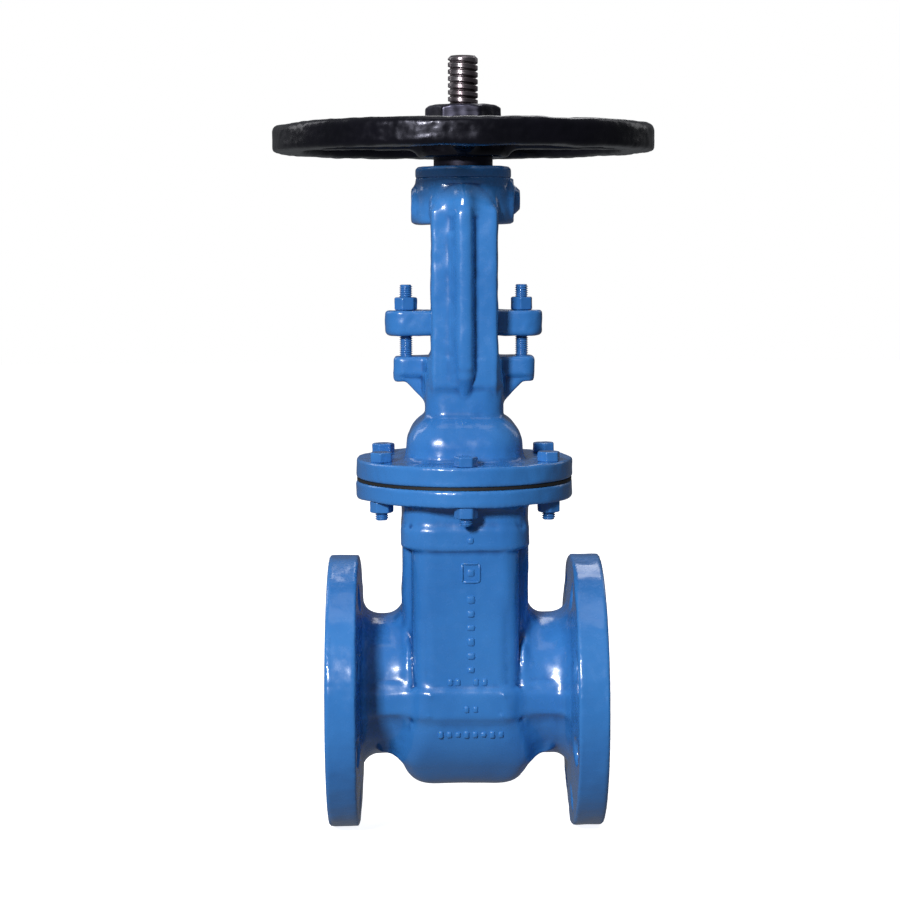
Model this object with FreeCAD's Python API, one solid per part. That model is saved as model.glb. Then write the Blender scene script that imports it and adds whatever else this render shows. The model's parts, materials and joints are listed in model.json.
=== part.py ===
import FreeCAD, Part
import math
import os

# Flanged wedge gate valve, nominal size 80 mm, pressure class 16 bar, with a rising stem in an
# outside yoke and a handwheel that stays at one height. Shown shut. Units are millimetres.
# The origin is where the pipe's axis (X) crosses the stem's axis (Z).

V = FreeCAD.Vector
X_AXIS = V(1, 0, 0)
Y_AXIS = V(0, 1, 0)
Z_AXIS = V(0, 0, 1)

# Construction: how far joined shapes overlap and cutters pass a face, and what a large fillet
# leaves of a face
LAP = 1.0
SLIVER = 0.1

# Small edge rounds and chamfers
EDGE_ROUND = 1.5
FLANGE_ROUND = 2.0
BOLT_CHAMFER = 1.0
NUT_CHAMFER = 0.75

# End flanges and ports
PORT_R = 40.0
FACE_TO_FACE = 203.0
FLANGE_R = 100.0
FLANGE_T = 23.0
RAISED_FACE_R = 66.0
RAISED_FACE_H = 1.0
FLANGE_PCD_R = 80.0
FLANGE_HOLE_R = 9.0
FLANGE_HOLES = 8
FLANGE_FIRST_HOLE = 22.5
FLANGE_BACK_DRAFT = 2.0
FLANGE_DRAFT_R = 67.0
FLANGE_HUB_FILLET = 11.0
RAISED_FACE_CHAMFER = 0.5
FLANGE_EDGE = 1.0
NOZZLE_R = 52.0
NOZZLE_RISE = 5.0

# Body casting around the wedge
NECK_X = 38.5
NECK_Y = 58.0
NECK_CORNER = 13.0
SIDE_X = 46.3
SIDE_Y = 37.0
BOWL_BOTTOM = -69.0
BOWL_X = 48.0
BOWL_CORNER = 30.0
BOWL_PLAN_CORNER = 24.0
NECK_TOP = 150.0
COLLAR_X = 46.8
COLLAR_Y = 60.5
COLLAR_CORNER = 22.0
COLLAR_Z = (112.0, 127.0)
THROAT_X = 45.5
THROAT_Y = 58.5
BELT_HALF = 9.6
BELT_HALF_NOZZLE = 7.0
BELT_PROUD = 2.6
WALL = 8.0
CAVITY_X = NECK_X - WALL
CAVITY_Y = 51.0
SIDE_CAVITY_X = SIDE_X - WALL
SIDE_CAVITY_Y = SIDE_Y - WALL
SIDE_CAVITY_FLOOR = -47.5
CAVITY_CORNER = 10.0
SIDE_CAVITY_CORNER = 7.0
GUIDE_HALF = 5.0
GUIDE_REACH = 45.5
GUIDE_Z = (-25.0, 128.0)

# Wedge and seats: each seat leans by SEAT_ANGLE, so the wedge is thinner at its bottom
SEAT_ANGLE = 5.0
WEDGE_HALF = 16.0
WEDGE_R = 48.5
SEAT_GAP = 0.3
SEAT_RING_R = 48.0
SEAT_RING_T = 8.0
SEAT_PROUD = 2.0
SEAT_BOSS_R = 53.5
FACE_RING_R = 47.2
FACE_RING_T = 3.0
FACE_PROUD = 0.8
WEDGE_BOSS_X = 19.5
WEDGE_BOSS_Y = 22.0
WEDGE_BOSS_Z = (30.0, 76.0)
WEDGE_BOSS_CORNER = 6.0
FACE_RING_BORE_R = 40.5
SLOT_HALF = 9.2
SLOT_HEAD_HALF = 13.6
SLOT_HEAD_Z = (50.0, 62.0)
PLAY = 0.5

# Bonnet joint
JOINT_R = 80.0
BODY_FLANGE_Z = (145.0, 157.6)
GASKET_TOP = 159.6
BONNET_FLANGE_TOP = 174.0
JOINT_PCD_R = 70.0
JOINT_BOLTS = 6
JOINT_HOLE_R = 5.3

# Fasteners: 3/8 inch Whitworth with the 0.600 inch hexagon
BOLT_R = 4.76
HEX_AF = 15.24
HEAD_H = 7.1
JOINT_NUT_H = 8.0
JOINT_BOLT_END = 131.5
GLAND_NUT_H = 9.5
JOINT_HEAD_TURN = 17.0
JOINT_NUT_TURN = 23.0
GLAND_NUT_TURNS = (12.0, 24.0)
THREAD_FIT = 0.04

# Bonnet casting
DOME_X = 42.5
DOME_Y = 53.0
DOME_CORNER = 28.0
DOME_TOP = 207.0
DOME_SHOULDER = 24.0
BONNET_NECK_X = 28.6
BONNET_NECK_Y = 37.0
BONNET_NECK_CORNER = 15.0
CROWN_X = 27.0
CROWN_Y = 39.0
CROWN_CORNER = 12.0
CROWN_BOTTOM = 228.5
LUG_REACH = 51.6
LUG_Y = 15.0
LUG_CORNER = 7.0
LUG_Z = (235.5, 249.0)
GUSSET_Y = 12.5
GUSSET_CORNER = 6.0
GUSSET_FOOT = 230.5
GUSSET_EDGE = ((43.0, GUSSET_FOOT), (28.5, 215.5), (24.0, 207.0))
DOME_CAVITY_TOP = 198.0
BOX_R = 24.5
BOX_BORE_R = 17.0
BOX_BOTTOM = 214.0
BOX_TOP = 252.0
BACKSEAT_R = 16.0
BACKSEAT_Z = (203.0, 210.0)
STEM_HOLE_R = 11.6

# Stem
STEM_R = 11.0
STEM_TOP = 469.0
STEM_PITCH = 5.0
THREAD_DEPTH = 2.5
THREAD_START = 287.0
STEM_HEAD_HALF = 13.0
STEM_HEAD_Z = (50.5, 61.5)
STEM_HEAD_CORNER = 2.0
STEM_NECK_R = 8.7
STEM_NECK_TOP = 79.0
STEM_SHOULDER = 81.5
STEM_COLLAR_R = 15.0
STEM_COLLAR_Z = (103.5, 105.5, 108.5, 112.5)
STEM_END_CHAMFER = 2.0
THREAD_CREST = 0.366 * STEM_PITCH
THREAD_FLANK_ANGLE = 15.0
THREAD_RUNOUT = 3.0

# Packing and gland
PACKING_RINGS = 5
PACKING_TOP = 238.0
RING_GAP = 0.05
RUN_CLEARANCE = 0.06
FREE_CLEARANCE = 0.35
FOLLOWER_GAP = 0.3
FOLLOWER_LIP_R = 21.0
FOLLOWER_LIP_H = 6.0
GLAND_Z = (264.0, 282.7)
GLAND_HALF_LENGTH = 58.0
GLAND_END_R = 13.5
GLAND_MID_R = 23.5
GLAND_BOLT_X = 42.7
GLAND_HOLE_R = 5.46
GLAND_BORE_R = 12.0
GLAND_EDGE_ROUND = 3.5
GLAND_NUT_GAP = 0.1
GLAND_STUD_Z = (232.0, 301.6)

# Yoke
ARM_Z = (232.0, 366.0)
ARM_Y = (29.5, 38.5)
ARM_X_INNER = 25.2
ARM_X_OUTER = 23.4
ARM_EDGE_ROUND = 2.5
ARM_CROWN_ROUND = 8.0
ARM_FOOT_Y = (20.0, 25.0)
ARM_FOOT_Z = (205.0, 229.0, 247.0)
RIB_Y = 48.0
RIB_BASE = (8.0, 229.0, 374.5)
RIB_CREST = (5.2, 241.0, 370.5)
RIB_EDGE_ROUND = 4.6
HEAD_R = 35.2
HEAD_LOW_R = 36.0
HEAD_Z = (346.0, 379.6)
HEAD_LOW_TOP = 373.0
HEAD_ROUND = 3.0
LEFT_BOSS_R = 13.5
LEFT_BOSS_END = 38.4
LEFT_BOSS_ROUND = 2.6
LEFT_BOSS_Z = 359.6
RIGHT_BOSS_R = 16.5
RIGHT_BOSS_END = 37.0
RIGHT_BOSS_Z = 362.7
PLUG_Z = 363.7
PLUG_HEX_AF = 19.5
PLUG_END = 41.6
PLUG_SHANK_R = 6.0
PLUG_SHANK_X = 30.0
GREASE_HOLE_R = 3.0

# Yoke sleeve, its bearings and its retainer
JOURNAL_R = 18.0
BUSH_R = 21.0
BUSH_Z = (347.0, 362.0)
POCKET_R = 28.0
WASHER_T = 2.5
SLEEVE_FLANGE_R = 27.0
SLEEVE_FLANGE_Z = (364.8, 373.2)
SLEEVE_NECK_R = 21.75
SLEEVE_SHOULDER = 394.5
WHEEL_SEAT_R = 17.5
SLEEVE_THREAD_R = 16.5
SLEEVE_TOP = 431.5
SLEEVE_BORE_R = 11.08
SLEEVE_LIFT = 0.3
RETAINER_Z = (376.3, 388.0)
RETAINER_CHAMFER = 2.0

# Handwheel
WHEEL_R = 140.0
RIM_INNER_R = 119.0
RIM_Z = (398.3, 418.0)
HUB_R = 33.0
HUB_Z = (394.5, 415.2)
SPOKES = 4
SPOKE_HALF = 9.0
SPOKE_Z = (400.5, 412.0)
SPOKE_ROUND = 4.0
SPOKE_LAP = 3.0
RIM_ROUND_TOP = 5.0
RIM_ROUND_BOTTOM = 3.0
KEY_HALF = 4.0
KEYWAY_X = (13.5, 20.8)
KEY_FIT = 0.1
WHEEL_NUT_AF = 49.0
WHEEL_NUT_TOP = 433.0
WHEEL_NUT_TURN = 3.8


def move(shape, x=0.0, y=0.0, z=0.0):
    """A copy of the shape, shifted."""
    copy = shape.copy()
    copy.translate(V(x, y, z))
    return copy


def turn(shape, degrees, axis=Z_AXIS):
    """A copy of the shape, turned about an axis through the origin."""
    copy = shape.copy()
    copy.rotate(V(0, 0, 0), axis, degrees)
    return copy


def join(shapes):
    """One solid from several that overlap."""
    first = shapes[0]
    return first.fuse(shapes[1:]).removeSplitter()


def cylinder(radius, z0, z1, x=0.0, y=0.0):
    """An upright cylinder."""
    return Part.makeCylinder(radius, z1 - z0, V(x, y, z0))


def tube(outer, inner, z0, z1, x=0.0, y=0.0):
    """An upright tube."""
    return cylinder(outer, z0, z1, x, y).cut(cylinder(inner, z0 - 1, z1 + 1, x, y))


def pipe_cylinder(radius, x0, x1, z=0.0):
    """A cylinder along the pipe."""
    return Part.makeCylinder(radius, x1 - x0, V(x0, 0, z), X_AXIS)


def box(x0, x1, y0, y1, z0, z1):
    """A block between two corners."""
    return Part.makeBox(x1 - x0, y1 - y0, z1 - z0, V(x0, y0, z0))


def edges_along(shape, axis, keep=lambda centre: True):
    """The straight edges parallel to an axis whose middle passes a test."""
    found = []
    for edge in shape.Edges:
        first = edge.Vertexes[0].Point
        last = edge.Vertexes[-1].Point
        run = last.sub(first)
        if run.Length > 1e-6 and run.cross(axis).Length < 1e-6 * run.Length:
            middle = first.add(last).multiply(0.5)
            if keep(middle):
                found.append(edge)
    return found


def upright_prism(half_x, half_y, corner, z0, z1):
    """A rectangle with round corners, standing on the XY plane."""
    block = box(-half_x, half_x, -half_y, half_y, z0, z1)
    return block.makeFillet(corner, edges_along(block, Z_AXIS))


def rounded_low(half_x, half_y, z0, z1, radius, axis):
    """A block whose two bottom edges along an axis are round."""
    block = box(-half_x, half_x, -half_y, half_y, z0, z1)
    chosen = edges_along(block, axis, lambda centre: centre.z < z0 + 1e-3)
    return block.makeFillet(radius, chosen)


def circles(shape, keep=lambda edge: True):
    """The circular edges that pass a test."""
    return [e for e in shape.Edges if isinstance(e.Curve, Part.Circle) and keep(e)]


def prism_from(points, z0, z1):
    """A polygon in the XY plane, extruded upright."""
    corners = [V(x, y, z0) for x, y in points]
    return Part.Face(Part.makePolygon(corners + [corners[0]])).extrude(V(0, 0, z1 - z0))


def both_ways(shape):
    """A shape and its copy turned half round the stem's axis."""
    return [shape, turn(shape, 180)]


def turned(points, axis=Z_AXIS):
    """A solid of revolution from (radius, height) points, closed along its axis or as a ring."""
    if axis == Z_AXIS:
        corners = [V(r, 0, h) for r, h in points]
    else:
        corners = [V(h, 0, r) for r, h in points]
    wire = Part.makePolygon(corners + [corners[0]])
    return Part.Face(wire).revolve(V(0, 0, 0), axis, 360)


def hexagon(across_flats, z0, z1, spin=0.0, chamfer_low=False):
    """A hexagonal prism with its corners turned off at the top, and at the bottom if asked."""
    corner_r = across_flats / math.sqrt(3)
    angles = [math.radians(60 * i + spin) for i in range(7)]
    points = [V(corner_r * math.cos(a), corner_r * math.sin(a), z0) for a in angles]
    prism = Part.Face(Part.makePolygon(points)).extrude(V(0, 0, z1 - z0))
    face_r = across_flats / 2 * 0.97
    wide_r = corner_r + LAP
    drop = (wide_r - face_r) * 0.5
    outline = [(0, z0), (wide_r, z0), (wide_r, z1 - drop), (face_r, z1), (0, z1)]
    if chamfer_low:
        outline[1:2] = [(face_r, z0), (wide_r, z0 + drop)]
    return prism.common(turned(outline))


def ring_places(count, radius, start):
    """Points evenly spaced on a circle."""
    places = []
    for i in range(count):
        angle = math.radians(start + 360.0 * i / count)
        places.append((radius * math.cos(angle), radius * math.sin(angle)))
    return places


def seat_side(shape, sign):
    """Puts a shape built along +X from the wedge's face where one seat is."""
    leaned = turn(shape, SEAT_ANGLE, Y_AXIS)
    placed = move(leaned, WEDGE_HALF)
    if sign > 0:
        return placed
    return placed.mirror(V(0, 0, 0), X_AXIS)


def joint_places():
    """Centres of the bonnet joint's bolts, one of them at the front."""
    return ring_places(JOINT_BOLTS, JOINT_PCD_R, -90.0)


def drilled(shape, places, radius, z0, z1):
    """Upright holes through a shape."""
    return shape.cut([cylinder(radius, z0, z1, x, y) for x, y in places])


# ---------------------------------------------------------------- body

def end_flange(sign):
    """One pipe flange with its raised face and the fillet that runs onto the nozzle."""
    face = FACE_TO_FACE / 2
    plate = face - RAISED_FACE_H
    back = face - FLANGE_T
    root = back - FLANGE_BACK_DRAFT
    disc = turned([(0, root), (FLANGE_DRAFT_R, root), (FLANGE_R - FLANGE_EDGE, back),
                   (FLANGE_R, back + FLANGE_EDGE), (FLANGE_R, plate - FLANGE_EDGE),
                   (FLANGE_R - FLANGE_EDGE, plate), (RAISED_FACE_R, plate),
                   (RAISED_FACE_R - RAISED_FACE_CHAMFER, face), (0, face)], X_AXIS)
    reach = FLANGE_HUB_FILLET
    half = reach * math.sqrt(0.5)
    start = V(root - reach, 0, NOZZLE_R)
    middle = V(root - reach + half, 0, NOZZLE_R + reach - half)
    end = V(root, 0, NOZZLE_R + reach)
    inside = [end, V(root + LAP, 0, NOZZLE_R + reach), V(root + LAP, 0, 0), V(0, 0, 0),
              V(0, 0, NOZZLE_R), start]
    outline = [Part.Arc(start, middle, end).toShape()]
    outline += [Part.makeLine(a, b) for a, b in zip(inside, inside[1:])]
    nozzle = Part.Face(Part.Wire(outline)).revolve(V(0, 0, 0), X_AXIS, 360)
    solid = disc.fuse(move(nozzle, z=NOZZLE_RISE))
    return solid if sign > 0 else solid.mirror(V(0, 0, 0), X_AXIS)


def bowl_block(half_x, half_y, corner):
    """A stretch of the neck with the bowl's round bottom."""
    across = rounded_low(NECK_Y + LAP, NECK_Y, BOWL_BOTTOM, NECK_TOP, NECK_Y - SLIVER, X_AXIS)
    return upright_prism(half_x, half_y, corner, BOWL_BOTTOM - LAP, NECK_TOP).common(across)


def body_outside():
    """The body casting, still solid."""
    along = rounded_low(NECK_X, NECK_Y + LAP, BOWL_BOTTOM, NECK_TOP, BOWL_CORNER, Y_AXIS)
    middle = bowl_block(NECK_X, NECK_Y, NECK_CORNER).common(along)
    sides = upright_prism(SIDE_X, SIDE_Y, NECK_CORNER, -BELT_HALF, NECK_TOP)
    along = rounded_low(BOWL_X, NECK_Y + LAP, BOWL_BOTTOM, 0, BOWL_CORNER, Y_AXIS)
    bowl = bowl_block(BOWL_X, NECK_Y, BOWL_PLAN_CORNER).common(along)
    throat = upright_prism(THROAT_X, THROAT_Y, COLLAR_CORNER, COLLAR_Z[0] + LAP,
                           BODY_FLANGE_Z[1])
    collar = upright_prism(COLLAR_X, COLLAR_Y, COLLAR_CORNER, *COLLAR_Z)
    belt = upright_prism(NECK_X + BELT_PROUD, NECK_Y + BELT_PROUD, NECK_CORNER,
                         -BELT_HALF, BELT_HALF)
    reach = FACE_TO_FACE / 2 - FLANGE_T
    nozzle_belt = box(-reach, reach, -NOZZLE_R - BELT_PROUD, NOZZLE_R + BELT_PROUD,
                      -BELT_HALF_NOZZLE, BELT_HALF_NOZZLE)
    flange = cylinder(JOINT_R, *BODY_FLANGE_Z)
    flange = flange.makeFillet(EDGE_ROUND, circles(flange))
    return join([middle, sides, bowl, throat, collar, belt, nozzle_belt, flange,
                 end_flange(1), end_flange(-1)])


def body_cavity():
    """The room for the wedge, open at the top."""
    floor = BOWL_BOTTOM + WALL
    top = BODY_FLANGE_Z[1] + LAP
    middle = upright_prism(CAVITY_X, CAVITY_Y, CAVITY_CORNER, floor - LAP, top)
    across = rounded_low(CAVITY_X + LAP, CAVITY_Y, floor, top, CAVITY_Y - LAP, X_AXIS)
    along = rounded_low(CAVITY_X, CAVITY_Y + LAP, floor, top, BOWL_CORNER - WALL, Y_AXIS)
    sides = upright_prism(SIDE_CAVITY_X, SIDE_CAVITY_Y, SIDE_CAVITY_CORNER, SIDE_CAVITY_FLOOR, top)
    return middle.common(across).common(along).fuse(sides)


def flange_holes(sign):
    """The bolt holes of one pipe flange, which straddle the centre lines."""
    length = FLANGE_T + FLANGE_BACK_DRAFT + FLANGE_HUB_FILLET
    start = FACE_TO_FACE / 2 + LAP
    places = ring_places(FLANGE_HOLES, FLANGE_PCD_R, FLANGE_FIRST_HOLE)
    return [Part.makeCylinder(FLANGE_HOLE_R, length, V(sign * start, y, z), V(-sign, 0, 0))
            for y, z in places]


def body():
    """The body casting with its ports, seat bosses, wedge guides and bolt holes."""
    shell = body_outside().cut(body_cavity())
    boss_start = SEAT_GAP + SEAT_PROUD
    boss = pipe_cylinder(SEAT_BOSS_R, boss_start, CAVITY_X + WALL / 2 - WEDGE_HALF)
    limit = bowl_block(SIDE_X - EDGE_ROUND, NECK_Y - EDGE_ROUND, NECK_CORNER)
    bosses = [seat_side(boss, sign).common(limit) for sign in (-1, 1)]
    guide = box(-GUIDE_HALF, GUIDE_HALF, GUIDE_REACH, CAVITY_Y + LAP, *GUIDE_Z)
    shell = shell.fuse(bosses + both_ways(guide))
    recess = pipe_cylinder(SEAT_RING_R, SEAT_GAP, SEAT_GAP + SEAT_RING_T)
    port = pipe_cylinder(PORT_R, WEDGE_HALF, FACE_TO_FACE / 2 + LAP)
    cutters = both_ways(port)
    for sign in (-1, 1):
        cutters.append(seat_side(recess, sign))
        cutters += flange_holes(sign)
    shell = shell.cut(cutters).removeSplitter()
    return drilled(shell, joint_places(), JOINT_HOLE_R, BODY_FLANGE_Z[0] - LAP,
                   BODY_FLANGE_Z[1] + LAP)


def seat_ring(sign):
    """A bronze ring pressed into the body, which the wedge shuts on."""
    ring = pipe_cylinder(SEAT_RING_R, SEAT_GAP, SEAT_GAP + SEAT_RING_T)
    half = FACE_TO_FACE / 2
    return seat_side(ring, sign).cut(pipe_cylinder(PORT_R, -half, half))


# ---------------------------------------------------------------- gate

def guide_slots():
    """What the body's guides need cut from the wedge's edge."""
    slot = box(-GUIDE_HALF - PLAY, GUIDE_HALF + PLAY, GUIDE_REACH - PLAY, WEDGE_R + LAP,
               -WEDGE_R, WEDGE_R)
    return both_ways(slot)


def wedge():
    """The wedge-shaped gate, with a T-slot for the stem's head and slots for its guides."""
    reach = WEDGE_R * 2
    outside = Part.makeBox(reach, reach * 2, reach * 2, V(-FACE_PROUD, -reach, -reach))
    disc = pipe_cylinder(WEDGE_R, -WEDGE_R, WEDGE_R)
    disc = disc.cut([seat_side(outside, sign) for sign in (-1, 1)])
    boss = upright_prism(WEDGE_BOSS_X, WEDGE_BOSS_Y, WEDGE_BOSS_CORNER, *WEDGE_BOSS_Z)
    slot_y = WEDGE_BOSS_Y + LAP
    groove = pipe_cylinder(FACE_RING_R, -FACE_RING_T, LAP).cut(
        pipe_cylinder(FACE_RING_BORE_R, -FACE_RING_T - LAP, 2 * LAP))
    cutters = [box(-SLOT_HALF, SLOT_HALF, -slot_y, slot_y, SLOT_HEAD_Z[0] + LAP,
                   WEDGE_BOSS_Z[1] + LAP),
               box(-SLOT_HEAD_HALF, SLOT_HEAD_HALF, -slot_y, slot_y, *SLOT_HEAD_Z)]
    cutters += guide_slots()
    cutters += [seat_side(groove, sign) for sign in (-1, 1)]
    return disc.fuse(boss).cut(cutters).removeSplitter()


def wedge_face_ring(sign):
    """A ring let into one side of the wedge, which stands a little proud."""
    ring = pipe_cylinder(FACE_RING_R, -FACE_RING_T, 0).cut(
        pipe_cylinder(FACE_RING_BORE_R, -FACE_RING_T - LAP, LAP))
    return seat_side(ring, sign).cut(guide_slots())


def stem():
    """The rising stem: T-head, neck, backseat collar, smooth shank and thread."""
    head = upright_prism(STEM_HEAD_HALF, STEM_HEAD_HALF, STEM_HEAD_CORNER, *STEM_HEAD_Z)
    root = STEM_R - THREAD_DEPTH
    low, low_edge, high_edge, high = STEM_COLLAR_Z
    outline = [(0, STEM_HEAD_Z[1] - LAP), (STEM_NECK_R, STEM_HEAD_Z[1] - LAP),
               (STEM_NECK_R, STEM_NECK_TOP), (STEM_R, STEM_SHOULDER), (STEM_R, low),
               (STEM_COLLAR_R, low_edge), (STEM_COLLAR_R, high_edge), (STEM_R, high)]
    flank = THREAD_DEPTH * math.tan(math.radians(THREAD_FLANK_ANGLE))
    groove = STEM_PITCH - THREAD_CREST
    for i in range(int((STEM_TOP - THREAD_RUNOUT - THREAD_START) / STEM_PITCH)):
        z = THREAD_START + i * STEM_PITCH
        outline += [(STEM_R, z), (root, z + flank), (root, z + groove - flank),
                    (STEM_R, z + groove)]
    outline += [(STEM_R, STEM_TOP - STEM_END_CHAMFER), (STEM_R - STEM_END_CHAMFER, STEM_TOP),
                (0, STEM_TOP)]
    return turned(outline).fuse(head).removeSplitter()


# ---------------------------------------------------------------- bonnet

def bonnet_gasket():
    """A flat gasket with the opening of the body's neck."""
    low, top = BODY_FLANGE_Z[1], GASKET_TOP
    sheet = cylinder(JOINT_R - RAISED_FACE_CHAMFER, low, top)
    middle = upright_prism(CAVITY_X, CAVITY_Y, CAVITY_CORNER, low - LAP, top + LAP)
    sides = upright_prism(SIDE_CAVITY_X, SIDE_CAVITY_Y, SIDE_CAVITY_CORNER, low - LAP, top + LAP)
    return drilled(sheet.cut([middle, sides]), joint_places(), JOINT_HOLE_R, low - LAP, top + LAP)


def dome(half_x, half_y, corner, z0, z1, shoulder):
    """An oval dome with round shoulders."""
    block = upright_prism(half_x, half_y, corner, z0, z1)
    return block.makeFillet(shoulder, [e for e in block.Edges if e.BoundBox.ZMin > z1 - SLIVER])


def lug_plate():
    """The two lugs for the gland studs, with the gussets that carry them."""
    plate = upright_prism(LUG_REACH, LUG_Y, LUG_CORNER, *LUG_Z)
    right = [V(x, 0, z) for x, z in
             ((LUG_REACH, LUG_Z[0] + LAP), (LUG_REACH, GUSSET_FOOT)) + GUSSET_EDGE]
    left = [V(-corner.x, 0, corner.z) for corner in reversed(right)]
    face = Part.Face(Part.makePolygon(right + left + [right[0]]))
    gusset = move(face.extrude(V(0, 2 * GUSSET_Y, 0)), y=-GUSSET_Y)
    corners = edges_along(gusset, Z_AXIS, lambda centre: abs(centre.x) > LUG_REACH - SLIVER)
    return plate.fuse(gusset.makeFillet(GUSSET_CORNER, corners))


def rib_outline(y, half, low, top):
    """The outline of a rib with half-round ends, in a plane that faces the front."""
    arcs = []
    for end, turned_out in ((top - half, 1), (low + half, -1)):
        side = V(half * turned_out, y, end)
        crown = V(0, y, end + half * turned_out)
        arcs.append(Part.Arc(side, crown, V(-side.x, y, end)).toShape())
    sides = [Part.makeLine(V(-half, y, top - half), V(-half, y, low + half)),
             Part.makeLine(V(half, y, low + half), V(half, y, top - half))]
    return Part.Wire([arcs[0], sides[0], arcs[1], sides[1]])


def arm():
    """The yoke arm at +Y: a flat web with a rib down its outside."""
    near, far = ARM_Y
    web = prism_from([(-ARM_X_INNER, near), (ARM_X_INNER, near), (ARM_X_OUTER, far),
                      (-ARM_X_OUTER, far)], *ARM_Z)
    crown = [e for e in web.Edges if e.BoundBox.ZMin > ARM_Z[1] - SLIVER
             and abs(e.CenterOfMass.x) > ARM_X_OUTER - SLIVER]
    web = web.makeFillet(ARM_CROWN_ROUND, crown)
    web = web.makeFillet(ARM_EDGE_ROUND, edges_along(web, Z_AXIS))
    low, bend, top = ARM_FOOT_Z
    root, toe = ARM_FOOT_Y
    side = [V(0, root, low), V(0, toe, low), V(0, far, bend), V(0, far, top), V(0, root, top)]
    foot = Part.Face(Part.makePolygon(side + [side[0]])).extrude(V(2 * ARM_X_OUTER, 0, 0))
    foot = move(foot, x=-ARM_X_OUTER)
    foot = foot.makeFillet(ARM_EDGE_ROUND, edges_along(foot, Z_AXIS, lambda c: c.y > far - SLIVER))
    rib = Part.makeLoft([rib_outline(far - LAP, *RIB_BASE), rib_outline(RIB_Y, *RIB_CREST)],
                        True, True)
    crest = [e for e in rib.Edges if e.BoundBox.YMin > RIB_Y - SLIVER]
    rib = rib.makeFillet(RIB_EDGE_ROUND, crest)
    return web.fuse([foot, rib])


def yoke_head():
    """The top of the yoke, which holds the sleeve, with a boss at each side."""
    upper = cylinder(HEAD_R, *HEAD_Z)
    lower = cylinder(HEAD_LOW_R, HEAD_Z[0], HEAD_LOW_TOP)
    lower = lower.makeFillet(HEAD_ROUND, circles(lower))
    left = pipe_cylinder(LEFT_BOSS_R, -LEFT_BOSS_END, 0, LEFT_BOSS_Z)
    outer = circles(left, lambda edge: edge.BoundBox.XMax < -HEAD_LOW_R)
    left = left.makeFillet(LEFT_BOSS_ROUND, outer)
    right = pipe_cylinder(RIGHT_BOSS_R, 0, RIGHT_BOSS_END, RIGHT_BOSS_Z)
    return join([upper, lower, left, right])


def bonnet_outside():
    """The bonnet casting, still solid."""
    flange = cylinder(JOINT_R, GASKET_TOP, BONNET_FLANGE_TOP)
    flange = flange.makeFillet(FLANGE_ROUND, circles(flange))
    neck = upright_prism(BONNET_NECK_X, BONNET_NECK_Y, BONNET_NECK_CORNER,
                         DOME_TOP - DOME_SHOULDER / 2, LUG_Z[0] + LAP)
    crown = upright_prism(CROWN_X, CROWN_Y, CROWN_CORNER, CROWN_BOTTOM, LUG_Z[1])
    low_dome = dome(DOME_X, DOME_Y, DOME_CORNER, GASKET_TOP + LAP, DOME_TOP, DOME_SHOULDER)
    stuffing_box = cylinder(BOX_R, LUG_Z[0], BOX_TOP)
    return join([flange, low_dome, neck, crown, lug_plate(), stuffing_box]
                + both_ways(arm()) + [yoke_head()])


def bonnet():
    """Bonnet, stuffing box, yoke arms and yoke head, cast in one piece."""
    cavity = dome(DOME_X - WALL, DOME_Y - WALL, DOME_CORNER - WALL, GASKET_TOP - LAP,
                  DOME_CAVITY_TOP, DOME_SHOULDER - WALL)
    cutters = [cavity,
               cylinder(BACKSEAT_R, DOME_CAVITY_TOP - LAP, BACKSEAT_Z[1]),
               cylinder(STEM_HOLE_R, DOME_CAVITY_TOP, BOX_BOTTOM + LAP),
               cylinder(BOX_BORE_R, BOX_BOTTOM, BOX_TOP + LAP),
               cylinder(BUSH_R, HEAD_Z[0] - LAP, BUSH_Z[1]),
               cylinder(POCKET_R, BUSH_Z[1], HEAD_Z[1] + LAP),
               pipe_cylinder(GREASE_HOLE_R, POCKET_R - 2 * LAP, PLUG_SHANK_X, PLUG_Z),
               pipe_cylinder(PLUG_SHANK_R + THREAD_FIT, PLUG_SHANK_X - THREAD_FIT, PLUG_END,
                             PLUG_Z)]
    for x in (-GLAND_BOLT_X, GLAND_BOLT_X):
        cutters.append(cylinder(BOLT_R + THREAD_FIT, GLAND_STUD_Z[0], LUG_Z[1] + LAP, x))
    shell = bonnet_outside().cut(cutters).removeSplitter()
    return drilled(shell, joint_places(), JOINT_HOLE_R, GASKET_TOP - LAP, BONNET_FLANGE_TOP + LAP)


def backseat_bush():
    """The bush that the stem's collar seals against when the valve is wide open."""
    low, top = BACKSEAT_Z
    bore = STEM_R + FREE_CLEARANCE
    outer = BACKSEAT_R - THREAD_FIT
    return turned([(bore, low + NUT_CHAMFER), (STEM_COLLAR_R, low), (outer, low), (outer, top),
                   (bore, top)])


def joint_bolts():
    """Hexagon bolts of the bonnet joint, each left as its last turn of the spanner left it."""
    low, top = JOINT_BOLT_END, BONNET_FLANGE_TOP
    shank = turned([(0, low), (BOLT_R - BOLT_CHAMFER, low), (BOLT_R, low + BOLT_CHAMFER),
                    (BOLT_R, top + LAP), (0, top + LAP)])
    bolts = []
    for i, (x, y) in enumerate(joint_places()):
        head = hexagon(HEX_AF, top, top + HEAD_H, spin=i * JOINT_HEAD_TURN)
        bolts.append(move(shank.fuse(head), x, y))
    return Part.makeCompound(bolts)


def joint_nuts():
    """Hexagon nuts of the bonnet joint, with their chamfered side down."""
    top = BODY_FLANGE_Z[0]
    bore = cylinder(BOLT_R + THREAD_FIT, top - JOINT_NUT_H - LAP, top + LAP)
    nuts = []
    for i, (x, y) in enumerate(joint_places()):
        nut = hexagon(HEX_AF, -top, -top + JOINT_NUT_H, spin=i * JOINT_NUT_TURN)
        nuts.append(move(turn(nut, 180, X_AXIS).cut(bore), x, y))
    return Part.makeCompound(nuts)


# ---------------------------------------------------------------- packing and gland

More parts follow.
